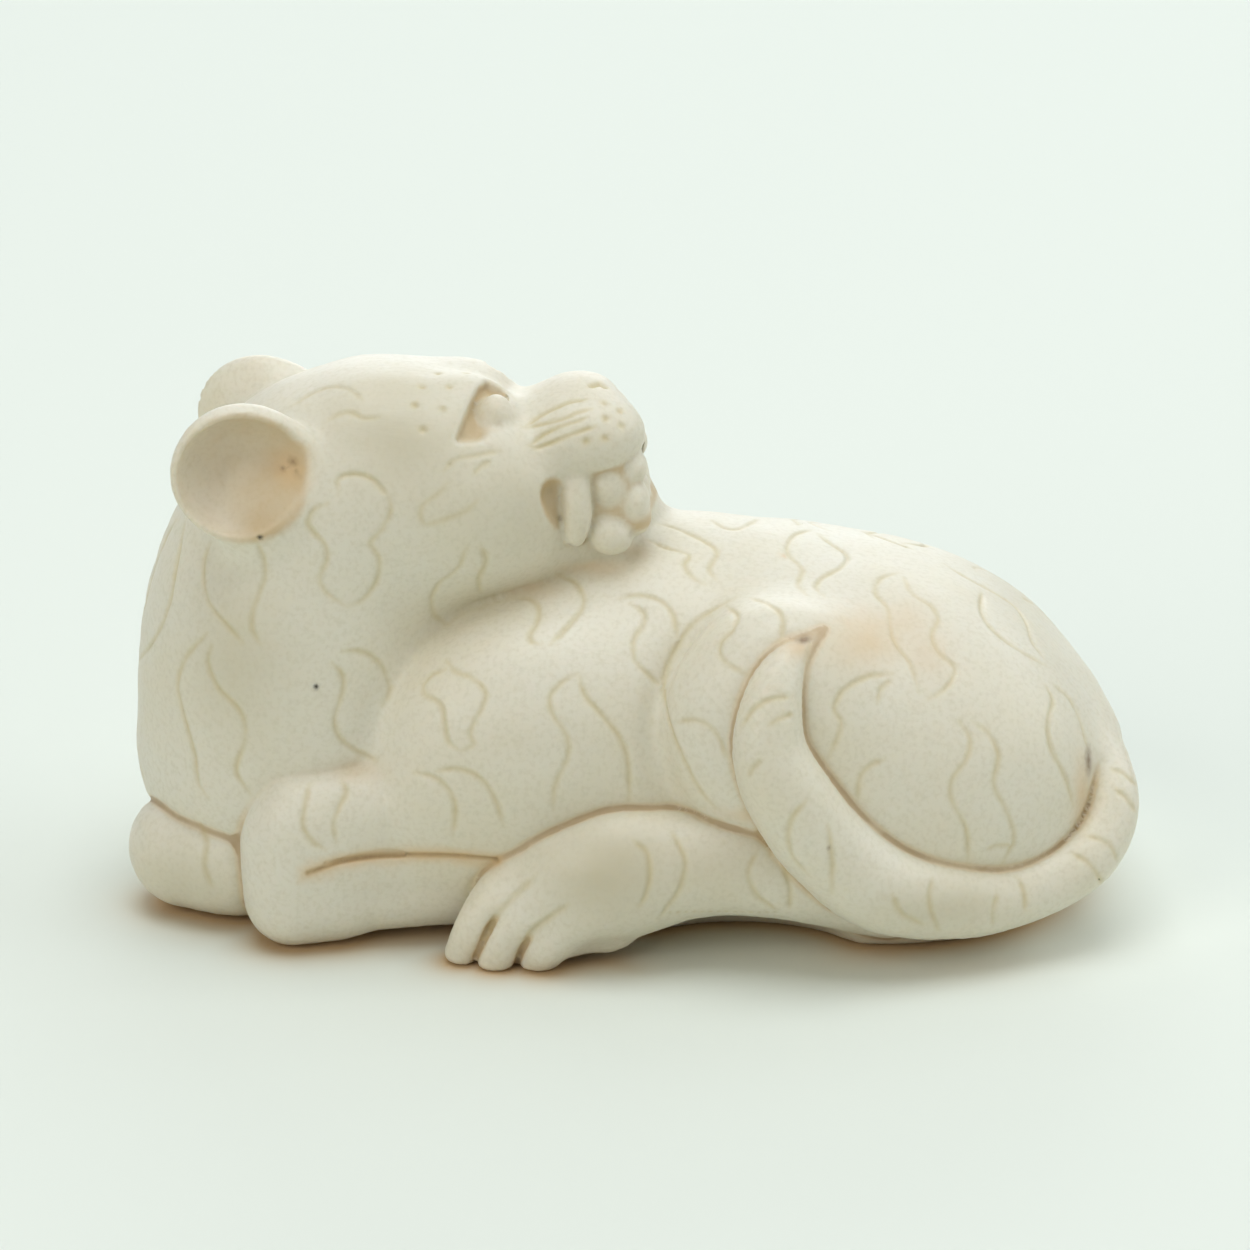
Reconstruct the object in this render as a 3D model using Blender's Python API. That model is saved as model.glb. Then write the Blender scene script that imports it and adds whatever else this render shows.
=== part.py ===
"""Okimono of a recumbent tiger that turns its head back over its shoulder, carved from one piece.

The figure lies along X with its chest towards -X and its left flank, the near side, towards -Y.
It rests on the plane Z = 0. Each form is given in figure units, about a millimetre each, and the carved
figure is then stretched to the three driving dimensions, so its forms keep their shares of it.
"""

import math

import bmesh
import bpy
import numpy as np
from mathutils import Euler, Matrix, Vector

# Driving dimensions, in metres
LENGTH = 0.055
DEPTH = 0.0286
HEIGHT = 0.0303

# Spacing of the points that the figure is carved in, and the facets kept of them
VOXEL = 0.4
TRIANGLES = 9400
# Points this close to the resting plane lie in it
FLAT_WITHIN = 0.05

TINY = 1e-6
# Rounding and depth of the seams where two forms touch
SEAM_SOFT = 1.0
SEAM_CUT = 0.15
# No blend reaches further than this from a form
REACH = 6.0


class Ball:
    """An ellipsoid with its own centre, radii and turn in degrees about X, Y and Z."""

    def __init__(self, centre, radii, turn=(0, 0, 0)):
        self.centre = np.array(centre, float)
        self.radii = np.array(radii, float)
        self.axes = np.array(Euler([math.radians(angle) for angle in turn]).to_matrix())

    def away(self, points):
        """Distance outside the surface, negative within."""
        local = (points - self.centre) @ self.axes
        near = np.linalg.norm(local / self.radii, axis=1)
        steep = np.linalg.norm(local / self.radii**2, axis=1)
        return near * (near - 1) / np.maximum(steep, TINY)

    def lay(self, bm):
        place = Matrix.Translation(self.centre) @ Matrix(self.axes.tolist()).to_4x4()
        stretch = Matrix.Diagonal((*self.radii, 1))
        bmesh.ops.create_icosphere(bm, subdivisions=4, radius=1, matrix=place @ stretch)


class Block:
    """A box with every edge rounded: half sizes, then the rounding inside them."""

    def __init__(self, centre, half, rounding, turn=(0, 0, 0)):
        self.centre = np.array(centre, float)
        self.half = np.array(half, float) - rounding
        self.rounding = rounding
        self.axes = np.array(Euler([math.radians(angle) for angle in turn]).to_matrix())

    def away(self, points):
        over = np.abs((points - self.centre) @ self.axes) - self.half
        outside = np.linalg.norm(np.maximum(over, 0), axis=1)
        return outside + np.minimum(over.max(axis=1), 0) - self.rounding

    def lay(self, bm):
        place = Matrix.Translation(self.centre) @ Matrix(self.axes.tolist()).to_4x4()
        size = 2 * (self.half + self.rounding * 0.6)
        bmesh.ops.create_cube(bm, size=1, matrix=place @ Matrix.Diagonal((*size, 1)))


def within(low, high, form, points):
    """A form's field close to its box, and the distance to the box for points too far off to blend."""
    off = np.linalg.norm(np.maximum(np.maximum(low - points, points - high), 0), axis=1)
    near = off < REACH
    off[near] = form(points[near])
    return off


class Limb:
    """A round limb along a smooth curve through stations of x, y, z and radius. flat squeezes it along Y."""

    STEPS = 5

    def __init__(self, *stations, flat=1.0):
        stations = np.array(stations, float)
        ends = np.vstack([2 * stations[0] - stations[1], stations, 2 * stations[-1] - stations[-2]])
        spots = []
        for a, b, c, d in zip(ends, ends[1:], ends[2:], ends[3:]):
            for t in np.arange(self.STEPS) / self.STEPS:
                spots.append(
                    b + 0.5 * t * (c - a + t * (2 * a - 5 * b + 4 * c - d + t * (3 * (b - c) + d - a)))
                )
        spots.append(stations[-1])
        self.spots = np.array(spots)
        self.flat = np.array([1.0, flat, 1.0])
        self.low = (self.spots[:, :3] - self.spots[:, 3:]).min(axis=0)
        self.high = (self.spots[:, :3] + self.spots[:, 3:]).max(axis=0)

    def away(self, points):
        return within(self.low, self.high, self.close, points)

    def close(self, points):
        nearest = np.full(len(points), np.inf)
        for start, end in zip(self.spots, self.spots[1:]):
            run = end[:3] - start[:3]
            along = np.clip((points - start[:3]) @ run / (run @ run), 0, 1)
            offset = (points - start[:3] - along[:, None] * run) / self.flat
            radius = start[3] + along * (end[3] - start[3])
            nearest = np.minimum(nearest, np.linalg.norm(offset, axis=1) - radius)
        return nearest

    def lay(self, bm):
        for spot in self.spots:
            radii = np.maximum(spot[3], 0.25) * self.flat
            place = Matrix.Translation(spot[:3]) @ Matrix.Diagonal((*radii, 1))
            bmesh.ops.create_icosphere(bm, subdivisions=2, radius=1, matrix=place)


def pair(kind, centre, radii, turn=(0, 0, 0)):
    """The same form on the near and on the far side of the head."""
    x, y, z = centre
    roll, pitch, yaw = turn
    return kind(centre, radii, turn), kind((x, -y, z), radii, (-roll, pitch, -yaw))


# Torso and haunches
RIBS = Ball((0.0, 0.8, 9.0), (14.5, 10.4, 11.3))
RUMP = Ball((8.2, 0.8, 7.2), (17.3, 10.9, 12.2), (0, 12, 0))
NEAR_SHOULDER = Ball((-6.4, -5.6, 10.6), (8.0, 5.3, 7.0), (0, -14, 0))
FAR_SHOULDER = Ball((-8.0, 7.0, 10.2), (7.6, 5.4, 7.6))
NEAR_HAUNCH = Ball((15.1, -4.2, 8.8), (10.3, 8.2, 8.8), (0, 8, 0))
NEAR_KNEE = Ball((7.6, -8.6, 12.0), (6.8, 4.1, 7.3))
FAR_HAUNCH = Ball((13.4, 5.2, 8.2), (11.0, 7.4, 8.6), (0, 8, 0))
FAR_KNEE = Ball((6.6, 8.6, 8.6), (6.4, 4.0, 7.0))

# Neck and head. The head is modelled upright, and then leans away from the near side by HEAD_LEAN.
HEAD_LEAN = 4.0
HEAD_PIVOT = np.array([-14.0, 0.0, 24.0])
HEAD_LOW = np.array([-26.0, -11.0, 16.0])
HEAD_HIGH = np.array([2.0, 11.0, 32.0])
NECK = Limb((-18.4, 0.4, 8.5, 8.9), (-18.0, 0.2, 15.5, 8.6), (-16.6, 0.0, 21.5, 7.4))
SKULL = Ball((-13.8, 0.0, 23.5), (7.6, 6.7, 6.3), (0, -10, 0))
CHEEKS = pair(Ball, (-9.6, -3.1, 23.2), (6.2, 3.8, 4.8), (0, -8, 0))
FOREHEAD = Block((-12.2, 0.0, 25.6), (4.5, 4.7, 3.9), 2.9)
BROWS = pair(Ball, (-8.8, -1.5, 27.6), (2.4, 1.9, 2.1))
BRIDGE = Limb((-9.0, 0.0, 25.2, 2.7), (-4.5, 0.0, 25.6, 2.2))
MUZZLE = Ball((-3.2, 0.0, 26.5), (3.3, 3.2, 2.85), (0, 6, 0))
LIPS = Ball((-2.8, -2.2, 26.4), (3.4, 2.4, 2.3), (0, -12, 0)), Ball((-3.2, 2.2, 26.0), (3.1, 2.2, 1.9), (0, -12, 0))
NOSE = Ball((-2.7, 0.0, 28.5), (1.5, 1.6, 0.9))
JAW = Limb((-10.5, 0.0, 20.6, 3.6), (-6.0, 0.0, 20.9, 3.2), (-2.2, 0.0, 21.3, 2.3), flat=1.3)
EARS = (
    Ball((-20.6, -6.1, 25.75), (3.85, 1.7, 3.7), (-12, -8, 10)),
    Ball((-20.2, 6.1, 25.4), (3.75, 1.7, 3.7), (12, -8, -10)),
)
EAR_BOWLS = pair(Ball, (-20.6, -7.8, 25.8), (3.2, 2.6, 3.0), (-12, -8, 10))
EAR_WELLS = pair(Ball, (-18.6, -5.9, 25.8), (1.8, 2.5, 1.5))
MOUTH = Block((-0.9, 0.0, 23.45), (2.95, 9.0, 1.75), 0.8, (0, -10, 0))
MOUTH_CORNERS = (
    Limb((-4.5, -5.05, 24.7, 0.6), (-4.25, -5.0, 23.6, 0.5), (-3.95, -4.8, 22.6, 0.35)),
    Limb((-4.5, 5.05, 24.7, 0.6), (-4.25, 5.0, 23.6, 0.5), (-3.95, 4.8, 22.6, 0.35)),
)
GUMS = Block((-1.0, 0.0, 23.1), (1.3, 3.2, 2.3), 1.3, (0, -10, 0))
MOUTH_FLOOR = Ball((-4.5, 0.0, 23.3), (4.4, 4.1, 3.0))
SOCKETS = (
    Limb((-9.4, -4.3, 27.0, 0.3), (-8.5, -3.6, 28.0, 0.85), (-7.5, -2.8, 28.8, 1.1)),
    Limb((-9.4, 4.3, 27.0, 0.3), (-8.4, 3.6, 27.8, 0.6), (-7.4, 2.9, 28.3, 0.8)),
)
EYES = (
    Ball((-7.45, -2.9, 27.75), (1.12, 1.25, 1.6), (0, 12, 0)),
    Ball((-7.6, 2.9, 27.7), (0.9, 1.0, 1.2), (0, 12, 0)),
)
FANGS = (
    Limb((-3.1, -3.2, 25.1, 0.9), (-3.1, -3.8, 23.8, 0.92), (-3.1, -4.0, 22.6, 0.88), (-3.2, -3.9, 21.6, 0.65)),
    Limb((-3.1, 3.2, 25.1, 0.9), (-3.1, 3.8, 23.8, 0.92), (-3.1, 4.0, 22.6, 0.88), (-3.2, 3.9, 21.6, 0.65)),
)
SIDE_TEETH = pair(Ball, (-1.35, -3.1, 24.1), (0.95, 0.95, 1.05))
FRONT_TEETH = pair(Ball, (-0.05, -2.2, 25.0), (0.75, 1.0, 1.0))
LOWER_TEETH = pair(Ball, (-1.3, -3.1, 21.6), (1.4, 1.15, 1.1))
CHIN_TEETH = pair(Ball, (0.0, -2.3, 23.3), (0.8, 1.1, 1.15))
# Folded near foreleg, with the paw tucked back under the forearm
FOREARM = Block((-12.4, -6.1, 6.7), (8.3, 3.7, 3.6), 2.8, (0, -4, 8))
WRIST = Block((-17.6, -7.1, 4.2), (3.5, 3.2, 4.3), 2.6, (0, -4, 8))
FOREPAW = Block((-13.2, -5.9, 3.4), (7.8, 3.8, 2.9), 2.4, (0, -1.5, 8))
PALM_LINE = Limb(
    (-16.5, -10.7, 5.5, 0.4),
    (-13.5, -10.2, 5.8, 0.7),
    (-9.5, -9.7, 5.8, 0.75),
    (-6.5, -9.4, 5.5, 0.7),
)
FAR_FOREARM = Limb((-24.2, -3.2, 3.0, 3.4), (-20.5, -4.2, 3.5, 3.7), (-14.0, -1.0, 4.0, 3.6))

# Near hind foot, with its three toes
SHANK = Limb((13.5, -8.6, 3.4, 2.9), (9.5, -9.6, 5.0, 3.1), (5.0, -10.0, 5.7, 3.1), (0.0, -9.9, 5.2, 3.3))
INSTEP = Ball((-1.4, -9.9, 4.9), (4.4, 3.5, 3.7), (0, -14, 0))
TOES = (
    Limb((-5.2, -9.3, 5.8, 1.6), (-7.0, -10.1, 4.2, 1.3), (-8.35, -10.8, 2.3, 1.15), (-9.2, -10.7, 0.5, 1.0)),
    Limb((-3.4, -10.7, 5.6, 1.6), (-5.2, -11.2, 3.7, 1.35), (-6.7, -11.4, 1.9, 1.2), (-7.4, -11.3, 0.4, 1.1)),
    Limb((-1.4, -11.1, 4.8, 1.8), (-3.2, -11.7, 3.1, 1.45), (-4.6, -11.7, 1.6, 1.3), (-5.15, -11.3, 0.6, 1.2)),
)
GROOVE_TOPS = (6.8, 5.3)
UNDERCUT = Ball((5.6, -11.0, -0.6), (7.0, 5.0, 2.9))

# Far hind foot, plainer
FAR_SHANK = Limb((12.0, 9.4, 2.9, 2.7), (5.0, 10.2, 2.9, 2.6), (-1.0, 10.4, 2.7, 2.4))
FAR_TOES = (
    Limb((-1.0, 9.2, 2.6, 1.4), (-4.6, 9.0, 1.5, 1.1)),
    Limb((-1.0, 10.6, 2.6, 1.5), (-5.0, 10.9, 1.4, 1.1)),
    Limb((0.0, 11.8, 2.4, 1.3), (-4.0, 12.4, 1.3, 1.0)),
)

# Tail, from the rump round the near haunch to its tip
TAIL = Limb(
    (21.5, 1.5, 11.0, 2.2),
    (23.3, -1.0, 10.8, 1.8),
    (24.9, -4.6, 10.0, 1.4),
    (25.6, -6.9, 8.3, 1.45),
    (25.3, -8.0, 6.7, 1.55),
    (24.2, -8.9, 5.3, 1.65),
    (22.4, -9.5, 4.3, 1.75),
    (20.1, -10.4, 3.8, 1.85),
    (17.4, -11.2, 3.9, 2.2),
    (13.3, -12.0, 5.0, 2.6),
    (10.4, -12.3, 7.4, 2.6),
    (8.3, -12.7, 10.3, 2.4),
    (7.1, -12.6, 13.0, 2.05),
    (7.2, -12.0, 15.6, 1.65),
    (8.0, -11.0, 17.4, 1.1),
    (9.4, -9.9, 18.3, 0.45),
    (10.0, -9.4, 18.7, 0.15),
)


def blend(a, b, soft):
    """Two forms run together over a fillet of about the softness given."""
    share = np.clip(0.5 + 0.5 * (b - a) / soft, 0, 1)
    return b + share * (a - b) - soft * share * (1 - share)


def hollow(a, b, soft):
    """The form a with b scooped out of it."""
    return -blend(-a, b, soft)


def meet(a, b, soft, cut, width=0.6):
    """Two forms that touch along a seam, which the carver has deepened by cut."""
    return blend(a, b, soft) + cut * np.exp(-(a * a + b * b) / width**2)


def ramp(values, low, high, at_low, at_high):
    """A smooth change from at_low to at_high as values go from low to high."""
    share = np.clip((values - low) / (high - low), 0, 1)
    share = share * share * (3 - 2 * share)
    return at_low + share * (at_high - at_low)


def lean_matrix():
    return np.array(Matrix.Rotation(math.radians(-HEAD_LEAN), 3, "X"))


def head(points):
    """Skull, face, mouth, teeth and ears."""
    p = (points - HEAD_PIVOT) @ lean_matrix() + HEAD_PIVOT
    form = SKULL.away(p)
    form = blend(form, FOREHEAD.away(p), 2.0)
    for cheek in CHEEKS:
        form = blend(form, cheek.away(p), 2.5)
    form = blend(form, BRIDGE.away(p), 1.6)
    for brow in BROWS:
        form = blend(form, brow.away(p), 1.2)
    face = blend(MUZZLE.away(p), NOSE.away(p), 0.8)
    for lip in LIPS:
        face = blend(face, lip.away(p), 1.5)
    form = blend(form, face, 1.3)
    form = blend(form, JAW.away(p), 1.8)
    form = hollow(form, MOUTH.away(p), 0.35)
    form = blend(form, MOUTH_FLOOR.away(p), 0.5)
    form = blend(form, GUMS.away(p), 0.5)
    for corner in MOUTH_CORNERS:
        form = hollow(form, corner.away(p), 0.35)
    for tooth in (*SIDE_TEETH, *FRONT_TEETH, *CHIN_TEETH, *LOWER_TEETH, *FANGS):
        form = meet(form, tooth.away(p), 0.3, 0.12, 0.3)
    for socket, eye in zip(SOCKETS, EYES):
        form = hollow(form, socket.away(p), 0.7)
        form = blend(form, eye.away(p), 0.4)
    for ear, bowl, well in zip(EARS, EAR_BOWLS, EAR_WELLS):
        form = blend(form, ear.away(p), 0.7)
        form = hollow(form, blend(bowl.away(p), well.away(p), 1.5), 0.8)
    return form


def torso(points):
    """Ribs, rump, shoulders and thighs."""
    form = blend(RIBS.away(points), RUMP.away(points), 4.0)
    form = blend(form, NEAR_SHOULDER.away(points), 3.0)
    form = blend(form, FAR_SHOULDER.away(points), 3.0)
    near = blend(NEAR_HAUNCH.away(points), NEAR_KNEE.away(points), 3.0)
    far = blend(FAR_HAUNCH.away(points), FAR_KNEE.away(points), 3.0)
    along = points[:, 0] + 0.6 * np.maximum(points[:, 2] - 13, 0)
    soft = ramp(along, 3, 13, 0.8, 5.0)
    cut = ramp(along, 3, 11, 0.35, 0.0)
    form = meet(form, near, soft, cut, 0.8)
    return meet(form, far, soft, cut, 0.8)


def near_foreleg(points):
    form = blend(FOREARM.away(points), FOREPAW.away(points), 1.0)
    form = blend(form, WRIST.away(points), 1.0)
    return hollow(form, PALM_LINE.away(points), 0.7)


def near_foot(points):
    form = blend(SHANK.away(points), INSTEP.away(points), 1.5)
    high = points[:, 2] - 0.35 * points[:, 0]
    toes = TOES[0].away(points)
    for toe, top in zip(TOES[1:], GROOVE_TOPS):
        toes = meet(toes, toe.away(points), ramp(high, top - 2, top, 0.25, 1.4), ramp(high, top - 2, top, 0.2, 0), 0.4)
    return blend(form, toes, 1.2)


def far_foot(points):
    form = FAR_SHANK.away(points)
    toes = FAR_TOES[0].away(points)
    for toe in FAR_TOES[1:]:
        toes = blend(toes, toe.away(points), 0.3)
    return blend(form, toes, 1.2)


def tiger(points):
    """The whole figure, cut off flat where it rests."""
    x, y, z = points.T
    front = blend(NECK.away(points), within(HEAD_LOW, HEAD_HIGH, head, points), 2.2)
    soft = ramp(y, -4, 4, ramp(z, 9, 13, 1.8, 1.1), 3.0)
    form = blend(torso(points), front, soft)
    form = meet(form, FAR_FOREARM.away(points), SEAM_SOFT, SEAM_CUT)
    form = meet(form, near_foreleg(points), ramp(x, -15, -11, SEAM_SOFT, 3.5), ramp(x, -15, -12, SEAM_CUT, 0.0))
    form = meet(form, far_foot(points), SEAM_SOFT, SEAM_CUT)
    form = meet(form, near_foot(points), SEAM_SOFT, SEAM_CUT)
    form = hollow(form, UNDERCUT.away(points), 0.8)
    apart = (1 - ramp(y, -5.0, -3.6, 0.0, 1.0)) * (1 - ramp(z, 8.8, 12.3, 0.0, 1.0))
    root = (1 - apart) * ramp(x, 15, 20, 0.0, 1.0)
    form = meet(form, TAIL.away(points), SEAM_SOFT + 1.5 * root, SEAM_CUT * (1 - root))
    return hollow(form, z, 0.3)


def level_and_slope(points, step=0.02):
    """The figure's field and its gradient, from the four corners of a small tetrahedron."""
    level = np.zeros(len(points))
    slope = np.zeros_like(points)
    for corner in np.array([(1, -1, -1), (-1, -1, 1), (-1, 1, -1), (1, 1, 1)], float):
        here = tiger(points + corner * step)
        level += here / 4
        slope += here[:, None] * corner / (4 * step)
    return level, slope


def settle(points, rounds=4, most=0.8):
    """Moves each point along the gradient until it lies on the carved surface."""
    for _ in range(rounds):
        level, slope = level_and_slope(points)
        size = np.maximum(np.linalg.norm(slope, axis=1), 0.3)
        shift = np.clip(level / size, -most, most)
        points = points - slope / size[:, None] * shift[:, None]
    return points


def rough_out(bm):
    """Lays every form down as a plain primitive, for the remesh to fuse."""
    head_forms = [SKULL, FOREHEAD, *CHEEKS, *BROWS, BRIDGE, MUZZLE, *LIPS, NOSE, JAW, *EARS]
    head_forms += [*EYES, *FANGS, *SIDE_TEETH, *FRONT_TEETH, *LOWER_TEETH, *CHIN_TEETH, GUMS]
    for form in head_forms:
        form.lay(bm)
    turn = Matrix(lean_matrix().tolist())
    bmesh.ops.rotate(bm, cent=Vector(HEAD_PIVOT), matrix=turn, verts=bm.verts)
    others = [RIBS, RUMP, NEAR_SHOULDER, FAR_SHOULDER, NEAR_HAUNCH, NEAR_KNEE, FAR_HAUNCH, FAR_KNEE]
    others += [NECK, FOREARM, WRIST, FOREPAW, FAR_FOREARM, SHANK, INSTEP, *TOES, FAR_SHANK, *FAR_TOES, TAIL]
    for form in others:
        form.lay(bm)


def mesh_through(mesh, **modifiers):
    """The mesh as it comes out of one modifier, whose kind and settings are given."""
    holder = bpy.data.objects.new("holder", mesh)
    bpy.context.scene.collection.objects.link(holder)
    modifier = holder.modifiers.new("step", modifiers.pop("kind"))
    for name, value in modifiers.items():
        setattr(modifier, name, value)
    graph = bpy.context.evaluated_depsgraph_get()
    made = bpy.data.meshes.new_from_object(holder.evaluated_get(graph))
    bpy.data.objects.remove(holder)
    return made


def points_of(mesh):
    flat = np.empty(len(mesh.vertices) * 3, np.float32)
    mesh.vertices.foreach_get("co", flat)
    return flat.reshape(-1, 3).astype(float)


def put_points(mesh, points):
    mesh.vertices.foreach_set("co", points.astype(np.float32).ravel())
    mesh.update()


def carve(voxel):
    """The figure's surface, settled on its field, with points about one voxel apart."""
    mesh = bpy.data.meshes.new("rough")
    bm = bmesh.new()
    rough_out(bm)
    bm.to_mesh(mesh)
    bm.free()
    for _ in range(2):
        mesh = mesh_through(mesh, kind="REMESH", mode="VOXEL", voxel_size=voxel, adaptivity=0.0)
        points = points_of(mesh)
        points[:, 2] = np.maximum(points[:, 2], 0)
        put_points(mesh, settle(points))
    mesh = mesh_through(mesh, kind="SMOOTH", factor=0.5, iterations=3)
    put_points(mesh, settle(points_of(mesh), rounds=2))
    return mesh


def size_up(mesh):
    """Stretches the figure to its driving dimensions, with the origin under its middle."""
    points = points_of(mesh)
    points[:, 2] = np.where(points[:, 2] < FLAT_WITHIN, 0.0, points[:, 2])
    low = points.min(axis=0)
    high = points.max(axis=0)
    middle = np.array([(low[0] + high[0]) / 2, (low[1] + high[1]) / 2, 0.0])
    put_points(mesh, (points - middle) * np.array([LENGTH, DEPTH, HEIGHT]) / (high - low))
    print("figure span", (high - low).round(3), "middle", middle.round(3))


def ivory():
    material = bpy.data.materials.new("ivory")
    material.use_nodes = True
    shader = material.node_tree.nodes["Principled BSDF"]
    shader.inputs["Base Color"].default_value = (0.76, 0.72, 0.60, 1)
    shader.inputs["Roughness"].default_value = 0.35
    return material


def build():
    for old in list(bpy.data.objects):
        bpy.data.objects.remove(old)
    fine = carve(VOXEL)
    faces = 2 * len(fine.polygons)
    mesh = mesh_through(fine, kind="DECIMATE", decimate_type="COLLAPSE", ratio=TRIANGLES / faces)
    size_up(mesh)
    mesh.name = "tiger"
    mesh.materials.clear()
    mesh.materials.append(ivory())
    figure = bpy.data.objects.new("tiger", mesh)
    bpy.context.scene.collection.objects.link(figure)
    print("tiger", len(mesh.vertices), "vertices", len(mesh.polygons), "faces")


if __name__ == "__main__":
    build()
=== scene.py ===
# %% [markdown]
# # A small carved tiger
#
# This is an okimono, an ornament for a shelf or a desk, about as long as a thumb. A tiger lies
# with its legs folded and looks back over its shoulder. The real one is cut from a single piece
# of ivory-coloured stuff, polished to a satin, and its stripes are fine grooves with a little
# brown rubbed into them.
#
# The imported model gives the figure's solid. The script takes a copy of that solid, finishes its
# skin as a carver would, from the big forms to the thin grooves, and then gives it its colour,
# its light and its camera.

# %% Load the frame
import math

import bmesh
import bpy
import numpy as np
from mathutils import Euler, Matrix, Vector, noise
from mathutils.kdtree import KDTree


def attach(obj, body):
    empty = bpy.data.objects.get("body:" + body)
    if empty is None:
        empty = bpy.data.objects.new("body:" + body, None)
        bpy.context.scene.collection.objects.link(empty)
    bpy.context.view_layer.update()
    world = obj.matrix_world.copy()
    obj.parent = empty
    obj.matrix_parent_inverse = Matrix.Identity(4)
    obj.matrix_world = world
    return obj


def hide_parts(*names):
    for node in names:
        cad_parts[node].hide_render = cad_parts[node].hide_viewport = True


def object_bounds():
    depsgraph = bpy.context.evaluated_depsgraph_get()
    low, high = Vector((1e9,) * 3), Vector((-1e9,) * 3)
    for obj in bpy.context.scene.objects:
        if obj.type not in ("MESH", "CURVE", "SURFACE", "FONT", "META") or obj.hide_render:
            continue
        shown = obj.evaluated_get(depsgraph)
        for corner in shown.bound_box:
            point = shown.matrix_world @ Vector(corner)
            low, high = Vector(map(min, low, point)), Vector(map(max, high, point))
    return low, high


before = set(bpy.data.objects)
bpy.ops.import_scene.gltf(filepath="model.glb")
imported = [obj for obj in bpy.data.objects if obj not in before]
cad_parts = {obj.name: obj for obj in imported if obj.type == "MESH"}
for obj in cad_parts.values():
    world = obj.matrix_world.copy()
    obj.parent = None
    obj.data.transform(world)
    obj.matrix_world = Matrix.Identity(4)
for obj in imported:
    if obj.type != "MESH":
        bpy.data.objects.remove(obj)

NODE = "tiger"
CAD_BOX = [list(map(float, corner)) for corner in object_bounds()]
print("solid's box, mm:", [[round(1000 * v, 2) for v in corner] for corner in CAD_BOX])

# %% [markdown]
# ## Forms that a carver thinks in
#
# A carver roughs out balls, blocks and limbs before any detail. The same three forms serve here.
# Each one tells how far any point is from its surface, less than nothing inside. Such a distance
# is handy, because two forms can be run together, or one scooped out of the other, with a line
# of arithmetic, and the width of the fillet is a number.
#
# All of it is in figure units, which are about a millimetre each.

# %% Balls, blocks and limbs
TINY = 1e-6
REACH = 6.0


def turned(degrees):
    return np.array(Euler([math.radians(angle) for angle in degrees]).to_matrix())


class Ball:
    """An ellipsoid with its own centre, radii and turn in degrees about X, Y and Z."""

    def __init__(self, centre, radii, turn=(0, 0, 0)):
        self.centre = np.array(centre, float)
        self.radii = np.array(radii, float)
        self.axes = turned(turn)

    def away(self, points):
        local = (points - self.centre) @ self.axes
        near = np.linalg.norm(local / self.radii, axis=1)
        steep = np.linalg.norm(local / self.radii**2, axis=1)
        return near * (near - 1) / np.maximum(steep, TINY)


class Block:
    """A box with every edge rounded: half sizes, then the rounding inside them."""

    def __init__(self, centre, half, rounding, turn=(0, 0, 0)):
        self.centre = np.array(centre, float)
        self.half = np.array(half, float) - rounding
        self.rounding = rounding
        self.axes = turned(turn)

    def away(self, points):
        over = np.abs((points - self.centre) @ self.axes) - self.half
        outside = np.linalg.norm(np.maximum(over, 0), axis=1)
        return outside + np.minimum(over.max(axis=1), 0) - self.rounding


def within(low, high, form, points):
    """A form's distance close to its box, and the box's own distance where it is too far to matter."""
    off = np.linalg.norm(np.maximum(np.maximum(low - points, points - high), 0), axis=1)
    near = off < REACH
    off[near] = form(points[near])
    return off


def curve_through(stations, steps):
    """A smooth curve through the stations given, as closely spaced spots."""
    stations = np.array(stations, float)
    ends = np.vstack([2 * stations[0] - stations[1], stations, 2 * stations[-1] - stations[-2]])
    spots = []
    for a, b, c, d in zip(ends, ends[1:], ends[2:], ends[3:]):
        for t in np.arange(steps) / steps:
            bend = 2 * a - 5 * b + 4 * c - d + t * (3 * (b - c) + d - a)
            spots.append(b + 0.5 * t * (c - a + t * bend))
    spots.append(stations[-1])
    return np.array(spots)


class Limb:
    """A round limb along a curve through stations of x, y, z and radius. flat widens it along Y."""

    def __init__(self, *stations, flat=1.0):
        self.spots = curve_through(stations, 5)
        self.flat = np.array([1.0, flat, 1.0])
        self.low = (self.spots[:, :3] - self.spots[:, 3:]).min(axis=0)
        self.high = (self.spots[:, :3] + self.spots[:, 3:]).max(axis=0)

    def away(self, points):
        return within(self.low, self.high, self.close, points)

    def close(self, points):
        nearest = np.full(len(points), np.inf)
        for start, end in zip(self.spots, self.spots[1:]):
            run = end[:3] - start[:3]
            along = np.clip((points - start[:3]) @ run / (run @ run), 0, 1)
            offset = (points - start[:3] - along[:, None] * run) / self.flat
            radius = start[3] + along * (end[3] - start[3])
            nearest = np.minimum(nearest, np.linalg.norm(offset, axis=1) - radius)
        return nearest


def ball_pair(centre, radii, turn=(0, 0, 0)):
    """The same ball on the near and on the far side of the head."""
    x, y, z = centre
    roll, pitch, yaw = turn
    return Ball(centre, radii, turn), Ball((x, -y, z), radii, (-roll, pitch, -yaw))


def limb_pair(*stations):
    """The same limb on both sides of the head."""
    return Limb(*stations), Limb(*[(x, -y, z, radius) for x, y, z, radius in stations])


# %% Ways to join forms
def blend(a, b, soft):
    """Two forms run together over a fillet of about the softness given."""
    share = np.clip(0.5 + 0.5 * (b - a) / soft, 0, 1)
    return b + share * (a - b) - soft * share * (1 - share)


def add(form, points, soft, *others):
    """The form with the others run into it, one after another."""
    for other in others:
        form = blend(form, other.away(points), soft)
    return form


def hollow(a, b, soft):
    """The form a with b scooped out of it."""
    return -blend(-a, b, soft)


def furrow(a, b, soft, cut, width):
    """Two forms run together, with a furrow of that depth and width where they cross."""
    return blend(a, b, soft) + cut * np.exp(-(a * a + b * b) / width**2)


GRAVER = {"deeper": 1.0}


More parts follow.
